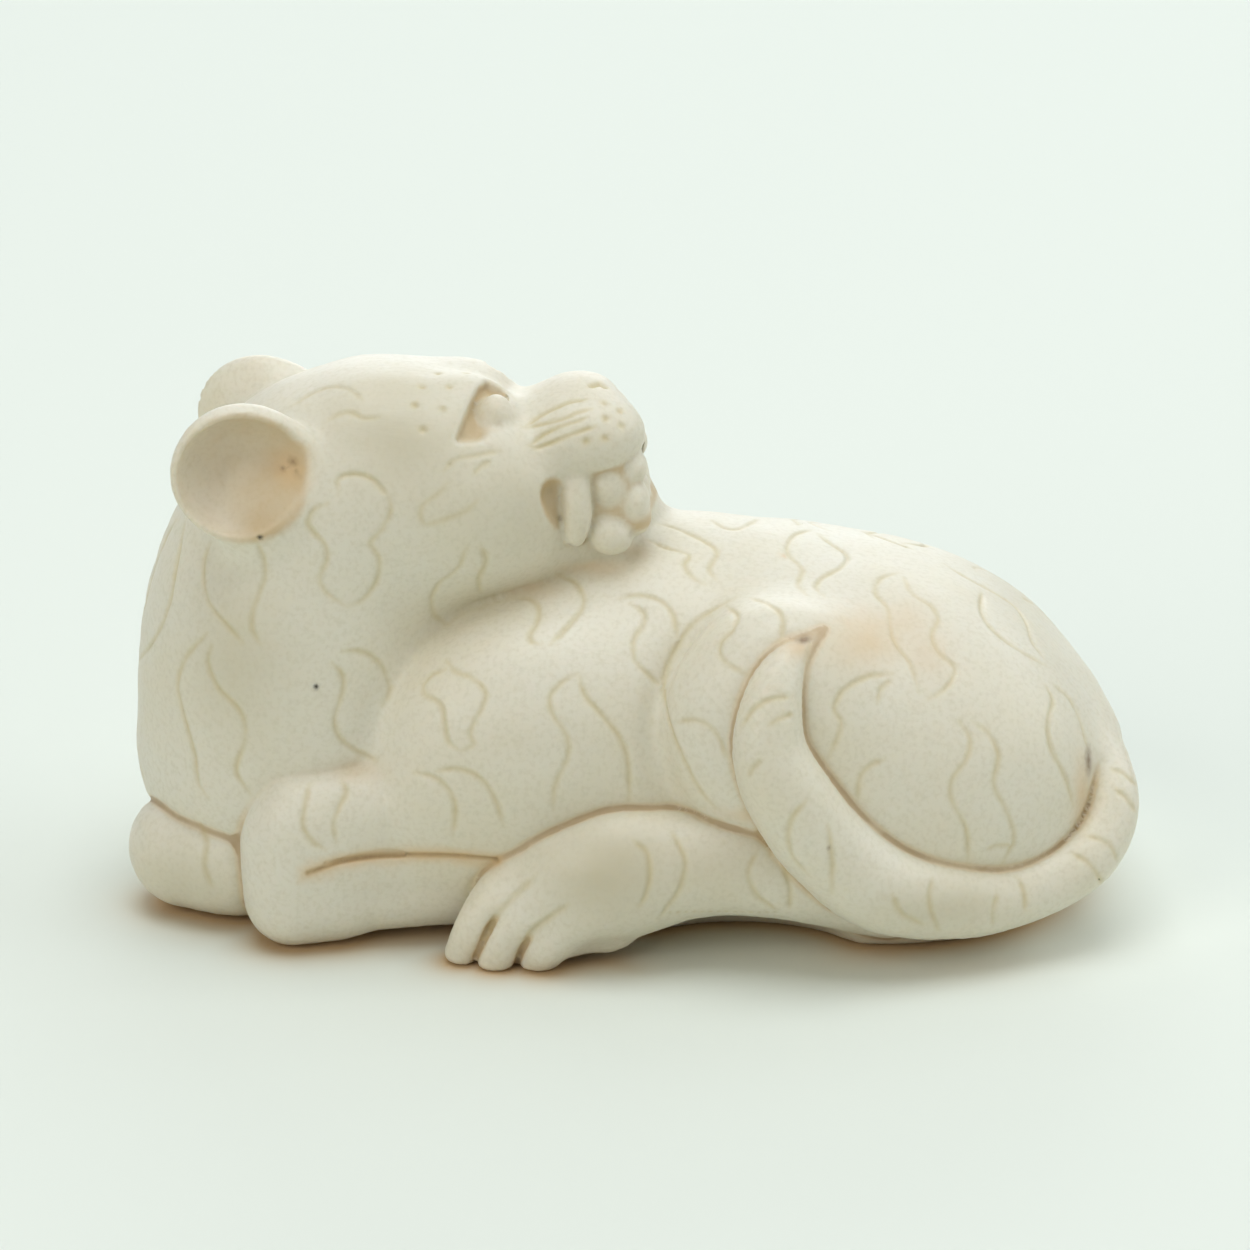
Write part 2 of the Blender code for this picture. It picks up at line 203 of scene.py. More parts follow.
def meet(a, b, soft, cut, width=0.28):
    """Two forms that touch along a seam, which the carver has deepened by cut."""
    return furrow(a, b, soft, GRAVER["deeper"] * cut, width)


def ramp(values, low, high, at_low, at_high):
    """A smooth change from at_low to at_high as values go from low to high."""
    share = np.clip((values - low) / (high - low), 0, 1)
    share = share * share * (3 - 2 * share)
    return at_low + share * (at_high - at_low)


# %% [markdown]
# ## The tiger's body
#
# On the real piece the limbs lie so close that only a sharp crease parts them. The solid has those
# creases wide and shallow, because a moulding or a simulation has no use for a knife's cut. Here
# the same forms meet in a tighter, deeper line, so the crease holds a shadow, as it does in ivory.

# %% Torso, legs and tail
SEAM_SOFT = 0.3
SEAM_CUT = 0.1

RIBS = Ball((0, 0.8, 9), (14.5, 10.4, 11.3))
RUMP = Ball((8.2, 0.8, 7.2), (17.3, 10.9, 12.2), (0, 12, 0))
NEAR_SHOULDER = Ball((-6.4, -5.6, 10.6), (8, 5.3, 7), (0, -14, 0))
FAR_SHOULDER = Ball((-8, 7, 10.2), (7.6, 5.4, 7.6))
NEAR_HAUNCH = Ball((15.1, -4.2, 8.8), (10.3, 8.2, 8.8), (0, 8, 0))
NEAR_KNEE = Ball((7.6, -8.6, 12), (6.8, 4.1, 7.3))
FAR_HAUNCH = Ball((13.4, 5.2, 8.2), (11, 7.4, 8.6), (0, 8, 0))
FAR_KNEE = Ball((6.6, 8.6, 8.6), (6.4, 4, 7))

FOREARM = Block((-12.4, -6.1, 6.7), (8.3, 3.7, 3.6), 2.8, (0, -4, 8))
WRIST = Block((-17.6, -7.1, 4.2), (3.5, 3.2, 4.3), 2.6, (0, -4, 8))
FOREPAW = Block((-13.2, -5.9, 3.4), (7.8, 3.8, 2.9), 2.4, (0, -1.5, 8))
PALM_LINE = Limb(
    (-16.4, -10.5, 5.6, 0.05), (-13.5, -10, 5.9, 0.2),
    (-9.5, -9.5, 5.9, 0.3), (-6.5, -9.2, 5.6, 0.3),
)
FAR_FOREARM = Limb((-24.2, -3.2, 3.35, 3.4), (-20.5, -4.2, 3.7, 3.7), (-14, -1, 4, 3.6))

SHANK = Limb((13.5, -8.6, 3.4, 2.9), (9.5, -9.6, 5, 3.1), (5, -10, 5.7, 3.1), (0, -9.9, 5.2, 3.3))
INSTEP = Ball((-1.4, -9.9, 4.9), (4.4, 3.5, 3.7), (0, -14, 0))
TOES = (
    Limb((-5.2, -9.3, 5.8, 1.6), (-7, -10.1, 4.2, 1.3), (-8.35, -10.8, 2.3, 1.15), (-9.2, -10.7, 0.5, 1)),
    Limb((-3.4, -10.7, 5.6, 1.6), (-5.2, -11.2, 3.7, 1.35), (-6.7, -11.4, 1.9, 1.2), (-7.4, -11.3, 0.4, 1.1)),
    Limb(
        (-1.4, -11.1, 4.8, 1.8), (-3.2, -11.7, 3.1, 1.45),
        (-4.6, -11.7, 1.6, 1.3), (-5.15, -11.3, 0.6, 1.2),
    ),
)
GROOVE_TOPS = (6.8, 5.3)
HEEL = Limb((-3, -10.9, 1.3, 0.8), (-0.6, -10.7, 1.3, 0.75))
UNDERCUT = Ball((5.6, -11, -0.6), (7, 5, 2.9))
FAR_SHANK = Limb((12, 9.4, 2.9, 2.7), (5, 10.2, 2.9, 2.6), (-1, 10.4, 2.7, 2.4))
FAR_TOES = (
    Limb((-1, 9.2, 2.6, 1.4), (-4.6, 9, 1.5, 1.1)),
    Limb((-1, 10.6, 2.6, 1.5), (-5, 10.9, 1.4, 1.1)),
    Limb((0, 11.8, 2.4, 1.3), (-4, 12.4, 1.3, 1)),
)
TAIL = Limb(
    (21.5, 1.5, 11, 2.2), (23.3, -1, 10.8, 1.8), (24.9, -4.6, 10, 1.4), (25.6, -6.9, 8.3, 1.45),
    (25.3, -8, 6.7, 1.55), (24.2, -8.9, 5.3, 1.65), (22.4, -9.5, 4.3, 1.75), (20.1, -10.4, 3.8, 1.85),
    (17.4, -11.2, 3.9, 2.2), (13.3, -12, 5, 2.6), (10.4, -12.3, 7.4, 2.6), (8.3, -12.7, 10.3, 2.4),
    (7.1, -12.6, 13, 2.05), (7.2, -12, 15.6, 1.65), (8, -11, 17.4, 1.1), (9.4, -9.9, 18.3, 0.45),
    (10, -9.4, 18.7, 0.15),
)


def torso(points):
    """Ribs, rump, shoulders and thighs."""
    form = add(RIBS.away(points), points, 4, RUMP)
    form = add(form, points, 3, NEAR_SHOULDER, FAR_SHOULDER)
    near = add(NEAR_HAUNCH.away(points), points, 3, NEAR_KNEE)
    far = add(FAR_HAUNCH.away(points), points, 3, FAR_KNEE)
    along = points[:, 0] + 0.6 * np.maximum(points[:, 2] - 13, 0)
    soft = ramp(along, 3, 13, 0.6, 5)
    cut = ramp(along, 3, 11, 0.35, 0)
    form = furrow(form, near, soft, cut, 0.8)
    return furrow(form, far, soft, cut, 0.8)


def near_foreleg(points):
    form = add(FOREARM.away(points), points, 1, FOREPAW, WRIST)
    return hollow(form, PALM_LINE.away(points), 0.25)


def near_foot(points):
    form = add(SHANK.away(points), points, 1.5, INSTEP)
    form = add(form, points, 0.8, HEEL)
    high = points[:, 2] - 0.35 * points[:, 0]
    toes = TOES[0].away(points)
    for toe, top in zip(TOES[1:], GROOVE_TOPS):
        soft, cut = ramp(high, top - 2, top, 0.2, 1.4), ramp(high, top - 2, top, 0.14, 0)
        toes = meet(toes, toe.away(points), soft, cut, 0.3)
    return blend(form, toes, 1.2)


def far_foot(points):
    form = FAR_SHANK.away(points)
    toes = FAR_TOES[0].away(points)
    for toe in FAR_TOES[1:]:
        toes = meet(toes, toe.away(points), 0.3, 0.05)
    return blend(form, toes, 1.2)


# %% [markdown]
# ## The camera's place
#
# The photograph was taken with a long lens, from a little above. The camera is settled before the
# fine carving, because that is read off the picture: a point of the figure has its pixel, and a
# pixel is a ray from the camera, which is followed until it meets the figure.

# %% Rays of the picture
PICTURE = 1250
LENS_TILT = math.radians(22)
LENS_AWAY = 300.0
PIXELS_PER_UNIT = 18.3
TARGET = np.array([-0.5, 0.0, 15.1])


def camera_frame(azimuth):
    """The camera's place and its forward, right and up directions, when swung round by azimuth."""
    turn = math.radians(azimuth)
    sideways = np.array([math.cos(turn), math.sin(turn), 0.0])
    level = np.array([-math.sin(turn), math.cos(turn), 0.0])
    forward = level * math.cos(LENS_TILT) - np.array([0, 0, math.sin(LENS_TILT)])
    upward = level * math.sin(LENS_TILT) + np.array([0, 0, math.cos(LENS_TILT)])
    return TARGET - forward * LENS_AWAY, forward, sideways, upward


def pixels_of(points, azimuth=0):
    """The pixel of each point, in the picture from that azimuth."""
    place, forward, sideways, upward = camera_frame(azimuth)
    offset = points - place
    scale = PIXELS_PER_UNIT * LENS_AWAY / (offset @ forward)
    return PICTURE / 2 + np.column_stack([offset @ sideways * scale, -(offset @ upward) * scale])


def outside_outline(pixels, outline):
    """Distance in figure units outside a closed outline of the picture, negative within it."""
    outline = np.array(outline, float)
    far = np.full(len(pixels), np.inf)
    inside = np.zeros(len(pixels), bool)
    for start, end in zip(outline, np.roll(outline, -1, axis=0)):
        run = end - start
        along = np.clip((pixels - start) @ run / (run @ run), 0, 1)
        far = np.minimum(far, np.linalg.norm(pixels - start - along[:, None] * run, axis=1))
        crosses = (start[1] > pixels[:, 1]) != (end[1] > pixels[:, 1])
        meets = start[0] + (pixels[:, 1] - start[1]) / (run[1] or TINY) * run[0]
        inside ^= crosses & (pixels[:, 0] < meets)
    return np.where(inside, -far, far) / PIXELS_PER_UNIT


# %% [markdown]
# ## The head
#
# The head is where a visitor looks first. It is built upright, as a sculptor would on the bench,
# and then leans a few degrees away from us. The jaws are open: a rounded block is scooped out for
# the mouth, a lump is left in it for the tongue, and the teeth are set along the edges, each in
# a small crease of its own.

# %% Skull, face, teeth and ears
HEAD_LEAN = 4.0
HEAD_PIVOT = np.array([-14.0, 0.0, 24.0])
HEAD_LOW = np.array([-26.0, -11.0, 16.0])
HEAD_HIGH = np.array([2.0, 11.0, 32.0])
NECK = Limb((-18.4, 0.4, 8.5, 8.9), (-18, 0.2, 15.5, 8.6), (-16.6, 0, 21.5, 7.4))
SKULL = Ball((-13.8, 0, 23.5), (7.6, 6.7, 6.3), (0, -10, 0))
CHEEKS = ball_pair((-9.6, -3.1, 23.2), (6.2, 3.8, 4.8), (0, -8, 0))
FOREHEAD = Block((-12.2, 0, 25.6), (4.5, 4.7, 3.9), 2.9)
BROWS = ball_pair((-8.8, -1.5, 27.6), (2.4, 1.9, 2.1))
BRIDGE = Limb((-9, 0, 25.2, 2.7), (-4.5, 0, 25.6, 2.2))
MUZZLE = Ball((-3.2, 0, 26.5), (3.3, 3.2, 2.85), (0, 6, 0))
LIPS = (
    Ball((-2.8, -2.2, 26.4), (3.4, 2.4, 2.3), (0, -12, 0)),
    Ball((-3.2, 2.2, 26), (3.1, 2.2, 1.9), (0, -12, 0)),
)
NOSE = Ball((-2.7, 0, 28.5), (1.5, 1.6, 0.9))
JAW = Limb((-10.5, 0, 20.6, 3.6), (-6, 0, 20.9, 3.2), (-2.2, 0, 21.3, 2.3), flat=1.3)
EARS = (
    Ball((-20.6, -6.1, 25.75), (3.85, 1.7, 3.7), (-12, -8, 10)),
    Ball((-20.2, 6.1, 25.4), (3.75, 1.7, 3.7), (12, -8, -10)),
)
EAR_BOWLS = ball_pair((-20.65, -7.7, 25.8), (3.5, 2.9, 3.3), (-12, -8, 10))
EAR_WELLS = ball_pair((-18.6, -5.9, 25.8), (1.8, 2.5, 1.5))
MOUTH = Block((-0.9, 0, 23.4), (2.95, 9, 1.75), 0.8, (0, -16, 0))
MOUTH_CORNERS = limb_pair((-4.2, -5.05, 24.2, 0.72), (-4, -5, 23.4, 0.58), (-3.75, -4.8, 22.6, 0.35))
GUMS = Block((-1.35, 0, 23.15), (1.9, 3.75, 2.3), 1, (0, -20, 0))
MOUTH_FLOOR = Ball((-4.5, 0, 23.3), (4.4, 4.1, 3))
EYES = (
    Ball((-7.5, -2.95, 27.5), (1.12, 1.25, 1.68), (0, 12, 0)),
    Ball((-7.6, 2.9, 27.7), (0.9, 1, 1.2), (0, 12, 0)),
)
EYE_DEPTH = 0.55
EYE_OPENING = (
    (456, 443), (463, 423), (471, 403), (479, 389), (488, 382), (497, 381), (504, 388),
    (508, 397), (509, 407), (507, 420), (502, 431), (492, 438), (478, 442),
)
EYE_APART = 1.3
FANGS = limb_pair(
    (-3.15, -3.4, 25.1, 0.85), (-3.1, -3.95, 23.8, 0.84), (-3.05, -4.15, 22.6, 0.8), (-3.15, -4.05, 21.6, 0.6)
)
SIDE_TEETH = ball_pair((-1.35, -3.1, 24.1), (0.95, 0.95, 1.05))
FRONT_TEETH = (
    *ball_pair((-0.05, -2.4, 25), (0.8, 1.15, 1)),
    *ball_pair((0.1, -0.75, 25), (0.75, 0.85, 1)),
    *ball_pair((0.15, -0.75, 23.2), (0.75, 0.85, 1.15)),
)
LOWER_TEETH = ball_pair((-1.35, -3.2, 21.5), (1.35, 1.15, 1.15), (0, 20, 0))
CHIN_TEETH = ball_pair((0, -2.5, 23.2), (0.85, 1.4, 1.2))
TEETH = (*SIDE_TEETH, *FRONT_TEETH, *CHIN_TEETH, *LOWER_TEETH, *FANGS)
LEAN = turned((-HEAD_LEAN, 0, 0))


def upright(points):
    """The same points with the head's lean taken out."""
    return (points - HEAD_PIVOT) @ LEAN + HEAD_PIVOT


def eye_opening(p):
    """One in the eyes' openings and nothing round them, for points of the upright head."""
    share = np.zeros(len(p))
    mirrored = p * (1, 0, 1) - np.abs(p[:, 1:2]) * (0, 1, 0)
    close = np.linalg.norm(mirrored - EYES[0].centre, axis=1) < 3.5
    leaning = (mirrored[close] - HEAD_PIVOT) @ LEAN.T + HEAD_PIVOT
    apart = ramp(-mirrored[close, 1], EYE_APART, EYE_APART + 0.5, 0, 1)
    share[close] = apart * ramp(outside_outline(pixels_of(leaning), EYE_OPENING), -0.3, 0.15, 1, 0)
    return share * (1 - ramp(p[:, 0], -8.4, -7.4, 0, 1) * ramp(p[:, 2], 27.4, 28.2, 1, 0))


def head(points):
    """Skull, face, mouth, teeth and ears."""
    p = upright(points)
    form = add(SKULL.away(p), p, 2, FOREHEAD)
    form = add(form, p, 2.5, *CHEEKS)
    form = add(form, p, 1.6, BRIDGE)
    form = add(form, p, 1.2, *BROWS)
    face = add(MUZZLE.away(p), p, 0.8, NOSE)
    face = add(face, p, 1.5, *LIPS)
    form = add(blend(form, face, 1.3), p, 1.8, JAW)
    form = hollow(form, MOUTH.away(p), 0.35)
    form = add(form, p, 0.5, MOUTH_FLOOR, GUMS)
    for corner in MOUTH_CORNERS:
        form = hollow(form, corner.away(p), 0.35)
    for tooth in TEETH:
        form = meet(form, tooth.away(p), 0.3, 0.04, 0.22)
    form = form + EYE_DEPTH * eye_opening(p)
    lid = ramp(p[:, 2], 26.5, 27.5, 0.9, 0.3)
    for eye in EYES:
        form = meet(form, eye.away(p), lid, 0.02, 0.25)
    for ear, bowl, well in zip(EARS, EAR_BOWLS, EAR_WELLS):
        form = blend(form, ear.away(p), 0.6)
        form = hollow(form, blend(bowl.away(p), well.away(p), 1.5), ramp(p[:, 0], -19.5, -17.5, 0.3, 1))
    return form


# %% The whole figure
def tiger(points):
    """The whole figure, cut off flat where it rests."""
    x, y, z = points.T
    front = blend(NECK.away(points), within(HEAD_LOW, HEAD_HIGH, head, points), 2.2)
    soft = ramp(y, -4, 4, ramp(z, 9, 13, 1.8, ramp(x, -12, -6, 1.1, 0.8)), 3)
    form = meet(torso(points), front, soft, ramp(y, -2, 4, SEAM_CUT, 0) * ramp(z, 9, 13, 0.2, 1))
    form = meet(form, FAR_FOREARM.away(points), SEAM_SOFT, SEAM_CUT)
    cut = ramp(x, -15, -12, SEAM_CUT, 0) * ramp(z, 6.5, 8.5, 1, 0.4)
    form = meet(form, near_foreleg(points), ramp(x, -15, -11, SEAM_SOFT, 3.5), cut)
    form = meet(form, far_foot(points), SEAM_SOFT, ramp(x, 5, 9, SEAM_CUT, 0))
    form = meet(form, near_foot(points), SEAM_SOFT, SEAM_CUT)
    form = hollow(form, UNDERCUT.away(points), 0.6)
    apart = ramp(y, -5, -3.6, 1, 0) * ramp(z, 8.8, 12.3, 1, 0)
    root = (1 - apart) * ramp(x, 15, 20, 0, 1)
    form = meet(form, TAIL.away(points), SEAM_SOFT + 1.5 * root, SEAM_CUT * (1 - root))
    return hollow(form, z, 0.3)


def level_and_slope(points, step=0.02):
    """The figure's distance and its gradient, from the four corners of a small tetrahedron."""
    level = np.zeros(len(points))
    slope = np.zeros_like(points)
    for corner in np.array([(1, -1, -1), (-1, -1, 1), (-1, 1, -1), (1, 1, 1)], float):
        here = tiger(points + corner * step)
        level += here / 4
        slope += here[:, None] * corner / (4 * step)
    return level, slope


def settle(points, rounds=3, most=0.6):
    """Moves each point along the gradient until it lies on the carved surface."""
    for _ in range(rounds):
        level, slope = level_and_slope(points)
        size = np.maximum(np.linalg.norm(slope, axis=1), 0.3)
        points = points - slope / size[:, None] * np.clip(level / size, -most, most)[:, None]
    return points


# %% [markdown]
# ## From the solid to a fine skin
#
# The solid is a coarse shell of loose triangles, good for a model that has to be light. A copy of
# it is merged into one skin and remeshed in small even quads, about a quarter of a millimetre wide.
# Each point then slides down the gradient of the forms until it lies on them. The copy therefore
# keeps the solid's shape, with smooth flanks and crisp creases in place of facets.

# %% Copy, merge, remesh and settle
UNIT = 0.001
FIGURE_MIDDLE = np.array([-0.272, -0.817, 0.0])
SKIN = 0.24
COARSER = 1.6


def in_scene(name, data):
    """A new object of that name in the scene."""
    made = bpy.data.objects.new(name, data)
    bpy.context.scene.collection.objects.link(made)
    return made


def mesh_through(mesh, kind, **settings):
    """The mesh as it comes out of one modifier, whose kind and settings are given."""
    holder = in_scene("holder", mesh)
    modifier = holder.modifiers.new("step", kind)
    for name, value in settings.items():
        setattr(modifier, name, value)
    graph = bpy.context.evaluated_depsgraph_get()
    made = bpy.data.meshes.new_from_object(holder.evaluated_get(graph))
    bpy.data.objects.remove(holder)
    return made


def points_of(mesh, layer=None):
    """The mesh's points as rows of x, y and z, or their unit normals."""
    flat = np.empty(len(mesh.vertices) * 3, np.float32)
    if layer == "normals":
        mesh.vertex_normals.foreach_get("vector", flat)
    else:
        mesh.vertices.foreach_get("co", flat)
    return flat.reshape(-1, 3).astype(float)


def put_points(mesh, points):
    mesh.vertices.foreach_set("co", points.astype(np.float32).ravel())
    mesh.update()


bm = bmesh.new()
bm.from_mesh(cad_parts[NODE].data)
bmesh.ops.remove_doubles(bm, verts=bm.verts, dist=TINY)
bmesh.ops.scale(bm, vec=(1 / UNIT, 1 / UNIT, 1 / UNIT), verts=bm.verts)
bmesh.ops.translate(bm, vec=Vector(FIGURE_MIDDLE), verts=bm.verts)
skin = bpy.data.meshes.new("skin")
bm.to_mesh(skin)
bm.free()

for voxel in (COARSER * SKIN, SKIN):
    skin = mesh_through(skin, "REMESH", mode="VOXEL", voxel_size=voxel, adaptivity=0.0)
    points = points_of(skin)
    points[:, 2] = np.maximum(points[:, 2], 0)
    put_points(skin, settle(points))
    print("skin:", len(skin.vertices), "points")
skin = mesh_through(skin, "SMOOTH", factor=0.5, iterations=2)
put_points(skin, settle(points_of(skin), rounds=2))

# %% [markdown]
# ## Where dirt and shade gather
#
# Brown has crept into every hollow of the real piece and been rubbed off its high places, and the
# hollows lie in shade besides. A copy of the skin that is smoothed a great deal loses its creases.
# Where the real skin lies below the smoothed one, the point is in a hollow, and where it lies above,
# it is on an edge. That one number is kept on the points, and the colour reads it later. The hollows
# are tinted ochre, partly for the brown that is in them and partly as painted shade.

# %% Depth of the hollows
FULL_HOLLOW_DEPTH = 0.28


def keep_on_points(mesh, name, values):
    layer = mesh.attributes.get(name) or mesh.attributes.new(name, "FLOAT", "POINT")
    layer.data.foreach_set("value", values.astype(np.float32))


smoothed = points_of(mesh_through(skin.copy(), "SMOOTH", factor=0.5, iterations=14))
hollows = ((smoothed - points_of(skin)) * points_of(skin, "normals")).sum(axis=1)
keep_on_points(skin, "hollows", np.clip(hollows / FULL_HOLLOW_DEPTH, -1.5, 1.5))


def seams(points):
    """How near a seam each point lies, from how much lower it would be if the seams were cut deeper."""
    plain = tiger(points)
    GRAVER["deeper"] = 2.0
    deeper = tiger(points)
    GRAVER["deeper"] = 1.0
    return (deeper - plain) / SEAM_CUT


def pocket_tint_and_shade(points):
    """Where the pockets are tinted tan, round the eyes and the teeth and deep in the ears: partly brown that
    has stayed there, partly painted shade.
    """
    p = upright(points)
    eyes = np.minimum(EYES[0].away(p), EYES[1].away(p))
    share = eye_opening(p) * ramp(eyes, 0, 0.25, 0.15, 1)
    teeth = np.min([tooth.away(p) for tooth in TEETH], axis=0)
    mouth = np.minimum(MOUTH.away(p), np.min([corner.away(p) for corner in MOUTH_CORNERS], axis=0))
    share = np.maximum(share, ramp(mouth, 0.05, 0.3, 0.9, 0) * ramp(teeth, 0.02, 0.3, 0, 1))
    bowls = np.min([bowl.away(p) for bowl in (*EAR_BOWLS, *EAR_WELLS)], axis=0)
    deep = ramp(p[:, 0], -23.5, -18.5, 0.3, 0.9) * ramp(p[:, 0], -17.6, -16.8, 1, 0)
    return np.maximum(share, ramp(bowls, 0.1, 0.5, 1, 0) * deep)


print("deepest hollow and highest edge, units:", hollows.max().round(2), hollows.min().round(2))

# %% [markdown]
# ## The stripes and the other marks
#
# Each stripe of the coat is outlined by two wavy cuts. A mark is a few pixels of the photograph,
# chosen where its line bends, and a smooth curve runs through them. The hidden flank has the same
# coat, mirrored and with fewer stripes, and the chest and the rump carry a few plain ones of their own.

# %% Marks on the neck and the head
NECK_STRIPES = {
    "nape rear": ((187, 522), (180, 556), (171, 605), (158, 637), (141, 660)),
    "nape edge": ((178, 521), (169, 536), (157, 566), (147, 606), (139, 632)),
    "throat edge": ((134, 735), (139, 757), (146, 778)),
    "under the ear rear": ((213, 542), (206, 562), (206, 587), (213, 607), (228, 625), (245, 643)),
    "under the ear fore": ((258, 542), (266, 560), (266, 580), (256, 608), (254, 628), (262, 644)),
    "cheek ruff rear": (
        (330, 503), (314, 512), (311, 527), (327, 546),
        (328, 562), (322, 578), (327, 592), (348, 607),
    ),
    "cheek ruff fore": (
        (348, 607), (365, 600), (379, 580), (380, 558),
        (372, 544), (385, 528), (392, 510), (389, 495),
    ),
    "cheek ruff top": ((340, 494), (340, 479), (356, 475), (374, 480), (390, 497)),
    "low neck rear": ((209, 634), (190, 655), (180, 680), (185, 712), (196, 752), (200, 781), (210, 797)),
    "low neck fore": ((214, 645), (210, 663), (220, 688), (243, 713), (247, 739), (238, 770), (252, 794)),
    "chest fore": ((344, 651), (364, 652), (381, 663), (391, 686), (386, 706)),
    "chest rear": ((334, 663), (344, 675), (345, 692), (337, 715), (339, 733), (352, 747), (378, 761)),
    "throat rear": ((468, 548), (459, 569), (440, 585), (433, 602), (437, 617), (450, 625)),
    "throat fore": ((482, 547), (487, 562), (480, 580), (481, 594)),
}
FACE_STRIPES = {
    "crown rear": ((293, 407), (314, 393), (334, 387), (351, 390), (364, 400)),
    "crown fore": ((328, 422), (340, 415), (352, 413), (366, 419), (384, 417)),
    "cheek upper": ((445, 472), (455, 461), (472, 457), (502, 451)),
    "cheek upper fold": ((474, 475), (482, 467), (491, 461)),
    "cheek lower": (
        (447, 485), (440, 494), (425, 505), (422, 516),
        (428, 525), (450, 519), (468, 511), (478, 501),
    ),
}
BROW_DOTS = ((439, 373), (468, 373), (423, 387), (450, 387), (416, 405), (444, 409), (424, 430))
WHISKER_DOTS = ((605, 403), (620, 411), (606, 419), (622, 426), (605, 439), (586, 442))
WHISKERS = (
    ((526, 427), (541, 416), (556, 408), (570, 402), (588, 399)),
    ((527, 428), (541, 425), (554, 422), (567, 418), (577, 413), (592, 409)),
    ((531, 446), (544, 435), (556, 429), (570, 424), (580, 421), (588, 417)),
    ((530, 446), (538, 448), (550, 444), (562, 439), (575, 434), (595, 427)),
)
NOSTRIL = ((588, 387), (594, 385), (600, 384), (609, 389))

# %% Marks on the body, the legs and the tail
FLANK_STRIPES = {
    "shoulder rear": ((514, 598), (531, 599), (539, 609), (537, 622), (530, 634), (532, 641), (542, 645)),
    "shoulder fore": ((557, 575), (574, 581), (583, 596), (580, 611), (565, 629), (550, 645)),
    "elbow blob rear": ((447, 669), (430, 676), (424, 692), (441, 704), (445, 722), (449, 741), (461, 751)),
    "elbow blob fore": (
        (461, 751), (474, 745), (471, 732), (483, 707),
        (486, 692), (473, 678), (455, 671), (447, 660),
    ),
    "rib rear": (
        (578, 673), (562, 683), (551, 696), (553, 714),
        (567, 736), (568, 758), (556, 785), (554, 810),
    ),
    "rib fore": ((580, 676), (585, 695), (601, 714), (620, 738), (629, 766), (629, 800)),
    "loin fore": ((618, 598), (638, 595), (659, 600), (672, 614), (678, 638)),
    "loin rear": ((630, 603), (643, 612), (643, 625), (634, 640), (635, 660), (650, 676), (664, 687)),
    "jaw side rear": ((648, 540), (667, 548), (688, 554), (684, 565), (692, 577), (705, 584)),
    "jaw side fore": ((659, 524), (678, 529), (704, 541), (716, 552), (709, 568), (715, 579)),
    "withers": ((711, 519), (722, 527), (738, 529), (757, 519)),
    "saddle rear": ((813, 529), (794, 535), (786, 552), (801, 569), (797, 584), (805, 595)),
    "saddle fore": ((816, 533), (830, 544), (846, 555), (841, 566), (822, 577), (815, 587), (823, 596)),
    "back line": ((861, 531), (885, 539), (910, 549)),
    "knee top rear": ((726, 606), (736, 616), (731, 630), (720, 642), (720, 656), (733, 668), (747, 675)),
    "knee top fore": ((750, 598), (768, 604), (780, 615), (782, 629), (779, 642)),
    "knee crease": ((735, 597), (695, 621), (669, 662), (663, 694), (675, 742), (699, 790), (715, 808)),
    "knee arc": ((677, 722), (692, 720), (708, 726), (719, 739), (726, 757)),
    "haunch S rear": (
        (897, 572), (880, 578), (874, 592), (886, 608),
        (889, 630), (896, 646), (909, 664), (917, 692),
    ),
    "haunch S fore": (
        (902, 577), (911, 594), (930, 606), (936, 620), (930, 634),
        (937, 652), (953, 668), (944, 688), (928, 698),
    ),
    "rump upper": ((942, 563), (965, 577), (1009, 603), (1023, 620), (1030, 641), (1042, 658)),
    "rump lower": ((980, 592), (981, 616), (998, 636), (1021, 652), (1044, 665)),
    "thigh crescent": ((891, 673), (866, 677), (844, 689), (833, 708), (840, 722), (836, 738), (827, 757)),
    "thigh crescent fold": ((891, 679), (880, 688), (876, 702)),
    "thigh hook": ((882, 760), (868, 766), (858, 779), (856, 800)),
    "thigh long rear": ((958, 721), (968, 738), (965, 758), (950, 780), (950, 801), (964, 829), (966, 860)),
    "thigh long fore": (
        (970, 721), (986, 733), (996, 756), (992, 784),
        (1005, 812), (1012, 838), (1001, 863),
    ),
    "hip rear": ((1044, 685), (1051, 700), (1046, 722), (1049, 748), (1063, 777), (1071, 805)),
    "hip fore": ((1052, 684), (1067, 698), (1077, 718), (1085, 748)),
}
LEG_STRIPES = {
    "wrist rear": ((311, 784), (307, 806), (305, 826), (314, 841), (327, 849)),
    "wrist fore": ((344, 779), (348, 791), (340, 809), (336, 824), (338, 842)),
    "forearm rear": ((415, 772), (436, 778), (450, 790), (456, 808), (454, 836)),
    "forearm fore": ((437, 771), (460, 769), (482, 779), (496, 800), (504, 826)),
    "far paw": ((203, 824), (209, 842), (207, 866), (214, 886)),
    "foot rear": ((634, 840), (647, 852), (650, 874), (646, 894), (639, 907)),
    "foot fore": ((672, 832), (680, 847), (685, 863), (680, 888), (667, 907), (659, 918)),
    "shank rear": ((757, 850), (748, 872), (755, 893), (776, 911)),
    "shank fore": ((783, 867), (789, 886), (789, 908)),
}
TAIL_BANDS = (
    ((740, 726), (753, 708), (771, 699), (790, 697)),
    ((768, 725), (779, 719), (792, 714)),
    ((747, 776), (752, 768), (760, 760)),
    ((806, 800), (792, 817), (787, 834), (791, 856), (806, 873)),
    ((827, 825), (830, 846), (831, 872), (830, 893)),
    ((891, 895), (900, 913), (922, 925)),
    ((931, 877), (928, 892), (929, 909), (937, 931)),
    ((995, 895), (991, 910), (991, 925)),
    ((1018, 880), (1022, 894), (1023, 910)),
    ((1069, 852), (1087, 864), (1100, 883)),
    ((1084, 835), (1106, 844), (1115, 861)),
    ((1109, 769), (1121, 773), (1134, 784)),
    ((1112, 789), (1123, 797), (1133, 811)),
)
